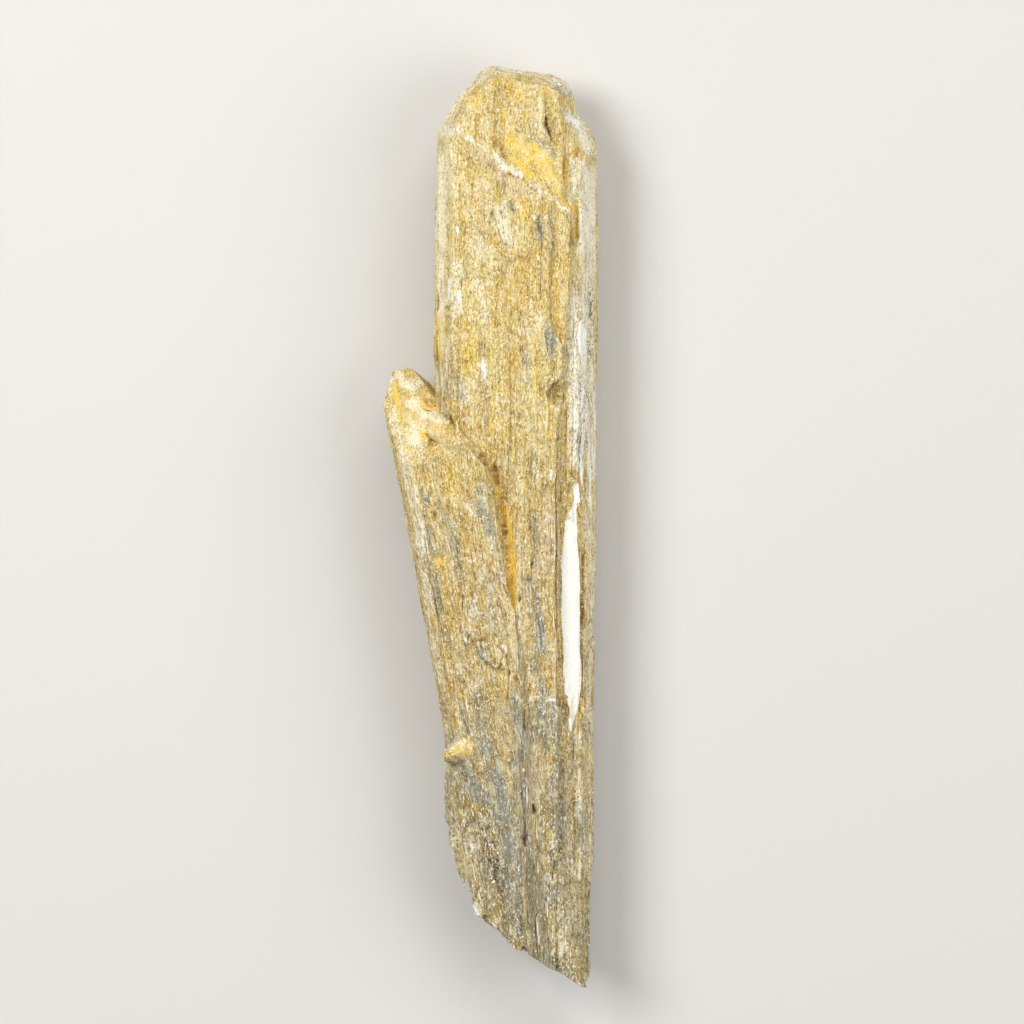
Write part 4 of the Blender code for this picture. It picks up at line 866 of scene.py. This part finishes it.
# %% Coats of colour
# From the bottom up: the colour, its strength, what it follows, from where to where, and its gate.
COATS = [
    (PALE, 0.6, streaks["broad"], 0.50, 0.64, 1.0, "MIX"),
    (TAN, 0.6, streaks["broad"], 0.50, 0.36, 1.0, "MIX"),
    (TAN, 0.2, rib_tone, 0.60, 0.98, 1.0, "MIX"),
    (PALE, 0.25, rib_tone, 0.40, 0.02, 1.0, "MIX"),
    (ROSE, 0.7, torn("rose", 0.8), 0.1, 1.1, 1.0, "MIX"),
    (HONEY, 0.9, torn("honey", 0.7), 0.1, 1.0, 1.0, "MIX"),
    (CREAM, 0.9, torn("cream", 1.0), 0.1, 0.9, 1.0, "MIX"),
    (ASH, 0.95, torn("ash", 0.8), 0.05, 0.9, 1.0, "MIX"),
    (OCHRE, 0.9, torn("ochre", 0.7), 0.1, 0.95, 1.0, "MIX"),
    (SLATE, 0.9, torn("slate", 0.6), 0.1, 0.9, 1.0, "MIX"),
    (LOAM, 0.85, torn("loam", 0.7), 0.1, 1.0, 1.0, "MIX"),
    (OCHRE, 0.6, streaks["middle"], 0.54, 0.70, 1.0, "MIX"),
    (CREAM, 0.35, streaks["blotch"], 0.54, 0.60, 1.0, "MIX"),
    (SHADE, 0.5, streaks["blotch"], 0.46, 0.38, 1.0, "MULTIPLY"),
    (SLATE, 0.6, streaks["cloud"], 0.54, 0.66, gates["lower"], "MIX"),
    (SAFFRON, 0.9, torn("saffron", 0.9), 0.3, 0.8, 1.0, "MIX"),
    (SHADE, 0.9, streaks["fine"], 0.46, 0.32, gates["lined"], "MULTIPLY"),
    (PALE, 0.5, streaks["fine"], 0.54, 0.68, gates["lined"], "MIX"),
    (SHADE, 1.0, streaks["mottle"], 0.46, 0.32, gates["lively"], "MULTIPLY"),
    (PALE, 0.75, streaks["mottle"], 0.54, 0.68, gates["lively"], "MIX"),
    # Shards of the broken ends, dark between and white where one catches the light.
    (RUST, 0.4, shard_tone, 0.34, 0.16, gates["broken"], "MIX"),
    (SOOT, 0.55, shard_tone, 0.34, 0.16, gates["dark broken"], "MIX"),
    (CHALK, 0.6, shard_tone, 0.86, 0.94, gates["broken"], "MIX"),
    # Fine crazing of the dried crust, open seams, hollows and cracks.
    (RUST, 0.5, crackle_seam, 0.12, 0.0, gates["crazed"], "MIX"),
    (RUST, 0.6, rib_seam, 0.10, 0.0, gates["opened"], "MIX"),
    (RUST, 0.6, seen["hollow"], -0.5, -1.3, 1.0, "MIX"),
    (GRAPHITE, 0.85, torn("graphite", 0.8), 0.35, 0.9, 1.0, "MIX"),
    (SAFFRON, 0.6, torn("saffron", 1.1), 0.5, 1.0, 1.0, "MIX"),
    # Umber in the cracks and along the umber strokes: dark joints and iron-brown dirt, and painted shade
    # where they follow slots, pits, the cleft and shaded step edges.
    (UMBER, 0.8, seen["crack"], 0.3, 0.9, 1.0, "MIX"),
    (UMBER, 0.75, torn("umber", 0.7), 0.5, 0.9, 1.0, "MIX"),
    # A painted highlight on proud edges; frosting, partly a painted highlight along rims; white specks,
    # partly painted glints; dark specks, chalk and pepper.
    (CHALK, 0.8, seen["edge"], 1.0, 3.0, gates["some"], "MIX"),
    (CHALK, 0.85, torn("frost_and_highlight", 1.4), 0.35, 0.95, 1.0, "MIX"),
    # The white specks are pale flecks and painted glints at once: they sit on the specks made glossy below.
    (CHALK, 0.7, streaks["speck"], 0.61, 0.69, 1.0, "MIX"),
    (UMBER, 0.55, streaks["speck"], 0.39, 0.31, 1.0, "MIX"),
    (CHALK, 0.97, torn("chalk", 0.4), 0.42, 0.58, 1.0, "MIX"),
    (SOOT, 0.8, streaks["mottle"], 0.45, 0.38, seen["soot"], "MIX"),
]
colour = add(tree, MIX, {0: seen["low"], 6: STRAW, 7: DULL_TAN}, out=2, data_type="RGBA")
greyed = add(tree, MATH, {0: seen["foot"], 1: 0.85}, operation="MULTIPLY")
colour = add(tree, MIX, {0: greyed, 6: colour, 7: FOOT_GREY}, out=2, data_type="RGBA")
colour = layered(tree, colour, COATS)
print("coats of colour:", len(COATS))

# %% Dullness and fine relief
# Only the tiny broken faces shine. Streaks and specks stand up a little, and crazing sinks in.
dull = add(tree, RANGE, {0: streaks["speck"], 1: 0.62, 2: 0.70, 3: 0.82, 4: 0.35},
           interpolation_type="SMOOTHSTEP")
crazing = add(tree, RANGE, {0: crackle_seam, 1: 0.12, 2: 0.0}, interpolation_type="SMOOTHSTEP")
crazing = add(tree, MATH, {0: crazing, 1: gates["crazed"]}, operation="MULTIPLY")
fine_relief = add(tree, MATH, {0: streaks["fine"], 1: 0.5, 2: streaks["speck"]}, operation="MULTIPLY_ADD")
fine_relief = add(tree, MATH, {0: crazing, 1: -0.4, 2: fine_relief}, operation="MULTIPLY_ADD")
relief = add(tree, "ShaderNodeBump", {"Height": fine_relief, "Strength": 1.0, "Distance": 0.17 * MM})
crust_face = add(tree, "ShaderNodeBsdfPrincipled",
                 {"Base Color": colour, "Roughness": dull, "Normal": relief, "IOR": 1.6,
                  "Specular IOR Level": 0.4})
add(tree, "ShaderNodeOutputMaterial", {"Surface": crust_face})
skin.data.materials.clear()
skin.data.materials.append(crust)
print("nodes in the crust's finish:", len(tree.nodes))

# %% Put the skin in the CAD solid's place
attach(skin, "root")
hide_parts("stibnite_crystals")
print("faces of the skin:", len(skin.data.polygons))

# %% [markdown]
# ## Splinters
# Needles that broke off lie flat on the faces and stick there, all along the prism. There are
# hundreds, so a tree scatters one small tapered stick over the skin: its long side follows the
# prism, its flat side the face, and each is as long and as pale as chance makes it.

# %% Tools for scattering
# The crumbs further down are scattered with the same tools.
def scattered(tree, size, density):
    """Points on the faces that look up or sideways, thick where the named share is high."""
    thick = add(tree, "GeometryNodeInputNamedAttribute", {"Name": density}, data_type="FLOAT")
    thick = add(tree, MATH, {0: thick, 1: size["Per Square Metre"]}, operation="MULTIPLY")
    normal = add(tree, "GeometryNodeInputNormal")
    up = add(tree, "ShaderNodeSeparateXYZ", {0: normal}, out="Z")
    up = add(tree, RANGE, {0: up, 1: -0.5, 2: 0.3})
    thick = add(tree, MATH, {0: thick, 1: up}, operation="MULTIPLY")
    spread = add(tree, "GeometryNodeDistributePointsOnFaces",
                 {"Mesh": size["Geometry"], "Density": thick, "Seed": size["Seed"]}, out="Points",
                 distribute_method="RANDOM")
    return spread, spread.node.outputs["Normal"]


def chance(tree, size, low, high, salt):
    """A random number between low and high for each point, from the tree's seed and a salt."""
    seed = add(tree, MATH, {0: size["Seed"], 1: float(salt)}, operation="ADD")
    return add(tree, "FunctionNodeRandomValue", {2: low, 3: high, "Seed": seed}, out=1,
               data_type="FLOAT")


def stand(tree, points, body, turn, scale, tint, finish):
    """Ends a tree: a body on every point, each with its tint, real mesh, none below the table."""
    shape = add(tree, "GeometryNodeStoreNamedAttribute", {0: points, "Name": "tint", "Value": tint},
                data_type="FLOAT", domain="POINT")
    shape = add(tree, "GeometryNodeInstanceOnPoints",
                {"Points": shape, "Instance": body, "Rotation": turn, "Scale": scale})
    shape = add(tree, "GeometryNodeRealizeInstances", {0: shape})
    here = add(tree, "GeometryNodeInputPosition")
    above_table = add(tree, VECTOR, {0: here, 1: (-1.0, -1.0, 0.0)}, operation="MAXIMUM")
    shape = add(tree, "GeometryNodeSetPosition", {0: shape, "Position": above_table})
    shape = add(tree, "GeometryNodeSetMaterial", {0: shape, "Material": finish})
    add(tree, "NodeGroupOutput", {0: shape})


def scatter_piece(name, tree, keys, sizes):
    """A piece of scattered shapes, grown on a copy of the skin, riding on the stone."""
    piece = bpy.data.objects.new(name, skin.data.copy())
    bpy.context.scene.collection.objects.link(piece)
    grow(piece, tree, keys, sizes)
    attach(piece, "root")
    print(name, "faces:", len(piece.data.polygons), " nodes in their tree:", len(tree.nodes))


# %% Needle ochre
# The splinters' finish: the same oxide as clean little prisms, a touch glossier than the crust, some
# pale, some tan, some still grey. The streaks are 0.2 mm wide and 2 mm long.
needle_ochre, tree = new_finish("needle_ochre")
tint = add(tree, "ShaderNodeAttribute", out="Fac", attribute_name="tint")
place_on = add(tree, "ShaderNodeTexCoord", out="Object")
at = add(tree, VECTOR, {0: place_on, 1: (5e3, 5e2, 5e3)}, operation="MULTIPLY")
streak = add(tree, NOISE, {"Vector": at, "Scale": 1.0, "Detail": 2.0})
colour = layered(tree, DULL_TAN, [(PALE, 1.0, tint, 0.3, 0.9, 1.0, "MIX"),
                                  (SLATE, 0.8, tint, 0.35, 0.10, 1.0, "MIX"),
                                  (SHADE, 0.6, streak, 0.5, 0.3, 1.0, "MULTIPLY")])
relief = add(tree, "ShaderNodeBump", {"Height": streak, "Strength": 0.4, "Distance": 0.05 * MM})
shine = add(tree, RANGE, {0: streak, 1: 0.4, 2: 0.65, 3: 0.7, 4: 0.4}, interpolation_type="SMOOTHSTEP")
needle_face = add(tree, "ShaderNodeBsdfPrincipled",
                  {"Base Color": colour, "Roughness": shine, "Normal": relief, "IOR": 1.6})
add(tree, "ShaderNodeOutputMaterial", {"Surface": needle_face})
print("nodes in the splinters' finish:", len(tree.nodes))

# %% The splinter tree
SPLINTERS = {"Per Square Metre": 110_000.0, "Shortest": 0.8, "Longest": 3.6, "Thinnest": 0.06,
             "Thickest": 0.14, "Seed": 5}
splinter_tree, sizes, splinter_keys = new_tree("scatter splinters", SPLINTERS)
size = sizes.outputs
points, normal = scattered(splinter_tree, size, "shaggy")
share = add(splinter_tree, "GeometryNodeInputNamedAttribute", {"Name": "side"}, data_type="FLOAT")
along = add(splinter_tree, MIX, {0: share, 4: (0.0, 1.0, 0.0), 5: (lean_x, lean_y, 0.0)}, out=1,
            data_type="VECTOR")
stray = add(splinter_tree, "FunctionNodeRandomValue",
            {0: (-0.03, 0.0, -0.01), 1: (0.03, 0.0, 0.01), "Seed": 41}, data_type="FLOAT_VECTOR")
along = add(splinter_tree, VECTOR, {0: along, 1: stray}, operation="ADD")
lie = add(splinter_tree, "FunctionNodeAlignRotationToVector", {"Vector": along}, axis="Z")
lie = add(splinter_tree, "FunctionNodeAlignRotationToVector", {"Rotation": lie, "Vector": normal},
          axis="Y", pivot_axis="Z")
thickness = chance(splinter_tree, size, size["Thinnest"], size["Thickest"], 1)
length = chance(splinter_tree, size, size["Shortest"], size["Longest"], 2)
flat = add(splinter_tree, MATH, {0: thickness, 1: 0.6}, operation="MULTIPLY")
scale = add(splinter_tree, "ShaderNodeCombineXYZ", {0: thickness, 1: flat, 2: length})
scale = add(splinter_tree, VECTOR, {0: scale, "Scale": MM}, operation="SCALE")
stick = add(splinter_tree, "GeometryNodeMeshCone",
            {"Vertices": 5, "Radius Top": 0.25, "Radius Bottom": 1.0, "Depth": 1.0})
tint = chance(splinter_tree, size, 0.0, 1.0, 3)
stand(splinter_tree, points, stick, lie, scale, tint, needle_ochre)
scatter_piece("splinters", splinter_tree, splinter_keys, SPLINTERS)

# %% [markdown]
# ## Crumbs
# Sugar-sized grains gather in the cleft, on the ledges and over the broken foot. Each is a ball of
# only twenty faces, squashed and turned at random, so that its flat faces catch the light one by one.

# %% Sugary grains
# The crumbs' finish: broken grains of the oxide, from white and straw to rusty, with faces smooth
# enough to glint. Towards the foot they turn grey and earthy, as the stone does. Their grit is
# 0.17 mm wide, about as wide as the grains.
sugar, tree = new_finish("sugary_grains")
tint = add(tree, "ShaderNodeAttribute", out="Fac", attribute_name="tint")
place_on = add(tree, "ShaderNodeTexCoord", out="Object")
down = add(tree, "ShaderNodeSeparateXYZ", {0: place_on}, out="Y")
down = add(tree, RANGE, {0: down, 1: -20 * MM, 2: -40 * MM}, interpolation_type="SMOOTHSTEP")
earth = add(tree, MIX, {0: down, 6: STRAW, 7: FOOT_GREY}, out=2, data_type="RGBA")
rust = add(tree, MIX, {0: down, 6: OCHRE, 7: LOAM}, out=2, data_type="RGBA")
at = add(tree, VECTOR, {0: place_on, "Scale": 6e3}, operation="SCALE")
grit = add(tree, NOISE, {"Vector": at, "Scale": 1.0, "Detail": 1.0})
colour = layered(tree, earth, [(PALE, 1.0, tint, 0.3, 0.7, 1.0, "MIX"),
                               (CHALK, 1.0, tint, 0.66, 0.8, 1.0, "MIX"),
                               (rust, 0.85, tint, 0.34, 0.24, 1.0, "MIX"),
                               (UMBER, 0.7, tint, 0.10, 0.05, 1.0, "MIX"),
                               (TAN, 0.4, grit, 0.5, 0.3, 1.0, "MIX")])
relief = add(tree, "ShaderNodeBump", {"Height": grit, "Strength": 0.3, "Distance": 0.05 * MM})
shine = add(tree, RANGE, {0: grit, 1: 0.4, 2: 0.6, 3: 0.6, 4: 0.25}, interpolation_type="SMOOTHSTEP")
grain_face = add(tree, "ShaderNodeBsdfPrincipled",
                 {"Base Color": colour, "Roughness": shine, "Normal": relief, "IOR": 1.7})
add(tree, "ShaderNodeOutputMaterial", {"Surface": grain_face})
print("nodes in the crumbs' finish:", len(tree.nodes))

# %% The crumb tree
CRUMBS = {"Per Square Metre": 1_900_000.0, "Smallest": 0.05, "Largest": 0.17, "Seed": 9}
crumb_tree, sizes, crumb_keys = new_tree("scatter crumbs", CRUMBS)
size = sizes.outputs
points, normal = scattered(crumb_tree, size, "crumbly")
ball = add(crumb_tree, "GeometryNodeMeshIcoSphere", {"Radius": 1.0, "Subdivisions": 1})
turn = add(crumb_tree, "FunctionNodeRandomValue",
           {0: (0.0, 0.0, 0.0), 1: (6.28, 6.28, 6.28), "Seed": 43}, data_type="FLOAT_VECTOR")
squash = add(crumb_tree, "FunctionNodeRandomValue",
             {0: (0.7, 0.8, 0.5), 1: (1.2, 1.9, 1.1), "Seed": 44}, data_type="FLOAT_VECTOR")
girth = chance(crumb_tree, size, 0.0, 1.0, 5)
girth = add(crumb_tree, MATH, {0: girth, 1: 2.5}, operation="POWER")
girth = add(crumb_tree, RANGE, {0: girth, 3: size["Smallest"], 4: size["Largest"]})
girth = add(crumb_tree, MATH, {0: girth, 1: MM}, operation="MULTIPLY")
scale = add(crumb_tree, VECTOR, {0: squash, "Scale": girth}, operation="SCALE")
tint = chance(crumb_tree, size, 0.0, 1.0, 6)
stand(crumb_tree, points, ball, turn, scale, tint, sugar)
scatter_piece("crumbs", crumb_tree, crumb_keys, CRUMBS)

# %% [markdown]
# ## Table and light
# A plain pale table and soft light from wide lamps, as in a studio. The main lamp stands low on the
# upper left, so that it rakes across the fibres and shows them. A fill on the right keeps the far
# sides readable, and a third lamp beyond the tip lights the faces that slope that way.

# %% Table
TABLE_HALF_SIDE = 1.5
TABLE_BELOW = 0.02 * MM
table = bpy.data.objects.new("table", bpy.data.meshes.new("table"))
top = bmesh.new()
bmesh.ops.create_grid(top, x_segments=1, y_segments=1, size=TABLE_HALF_SIDE)
bmesh.ops.translate(top, verts=top.verts, vec=(0, 0, -TABLE_BELOW))
top.to_mesh(table.data)
top.free()
# Plain matt card: a smooth pale grey without a sheen.
card = bpy.data.materials.new("matt_card")
card.use_nodes = True
card_face = card.node_tree.nodes["Principled BSDF"]
card_face.inputs["Base Color"].default_value = linear("#d6d4cf")
card_face.inputs["Roughness"].default_value = 0.9
table.data.materials.append(card)
bpy.context.scene.collection.objects.link(table)
print("table:", 2 * TABLE_HALF_SIDE, "m wide")

# %% Light
# Where each lamp stands and how wide it is, in metres, and its watts.
LAMPS = {"main": ((-0.40, 0.20, 0.58), 0.32, 3.85), "fill": ((0.60, -0.10, 0.55), 0.60, 3.0),
         "top": ((0.12, 0.55, 0.55), 0.50, 2.2)}
SKY_STRENGTH = 0.24
for name, (at, width, watts) in LAMPS.items():
    lamp = bpy.data.lights.new(name, "AREA")
    lamp.shape = "SQUARE"
    lamp.size = width
    lamp.energy = watts
    lamp_object = bpy.data.objects.new(name, lamp)
    lamp_object.location = at
    lamp_object.rotation_euler = (-Vector(at)).to_track_quat("-Z", "Y").to_euler()
    bpy.context.scene.collection.objects.link(lamp_object)
sky = bpy.data.worlds.new("studio")
sky.use_nodes = True
sky.node_tree.nodes["Background"].inputs["Color"].default_value = linear("#eef0f2")
sky.node_tree.nodes["Background"].inputs["Strength"].default_value = SKY_STRENGTH
bpy.context.scene.world = sky
bpy.context.scene.view_settings.view_transform = "Standard"
print("lamps:", ", ".join(LAMPS))
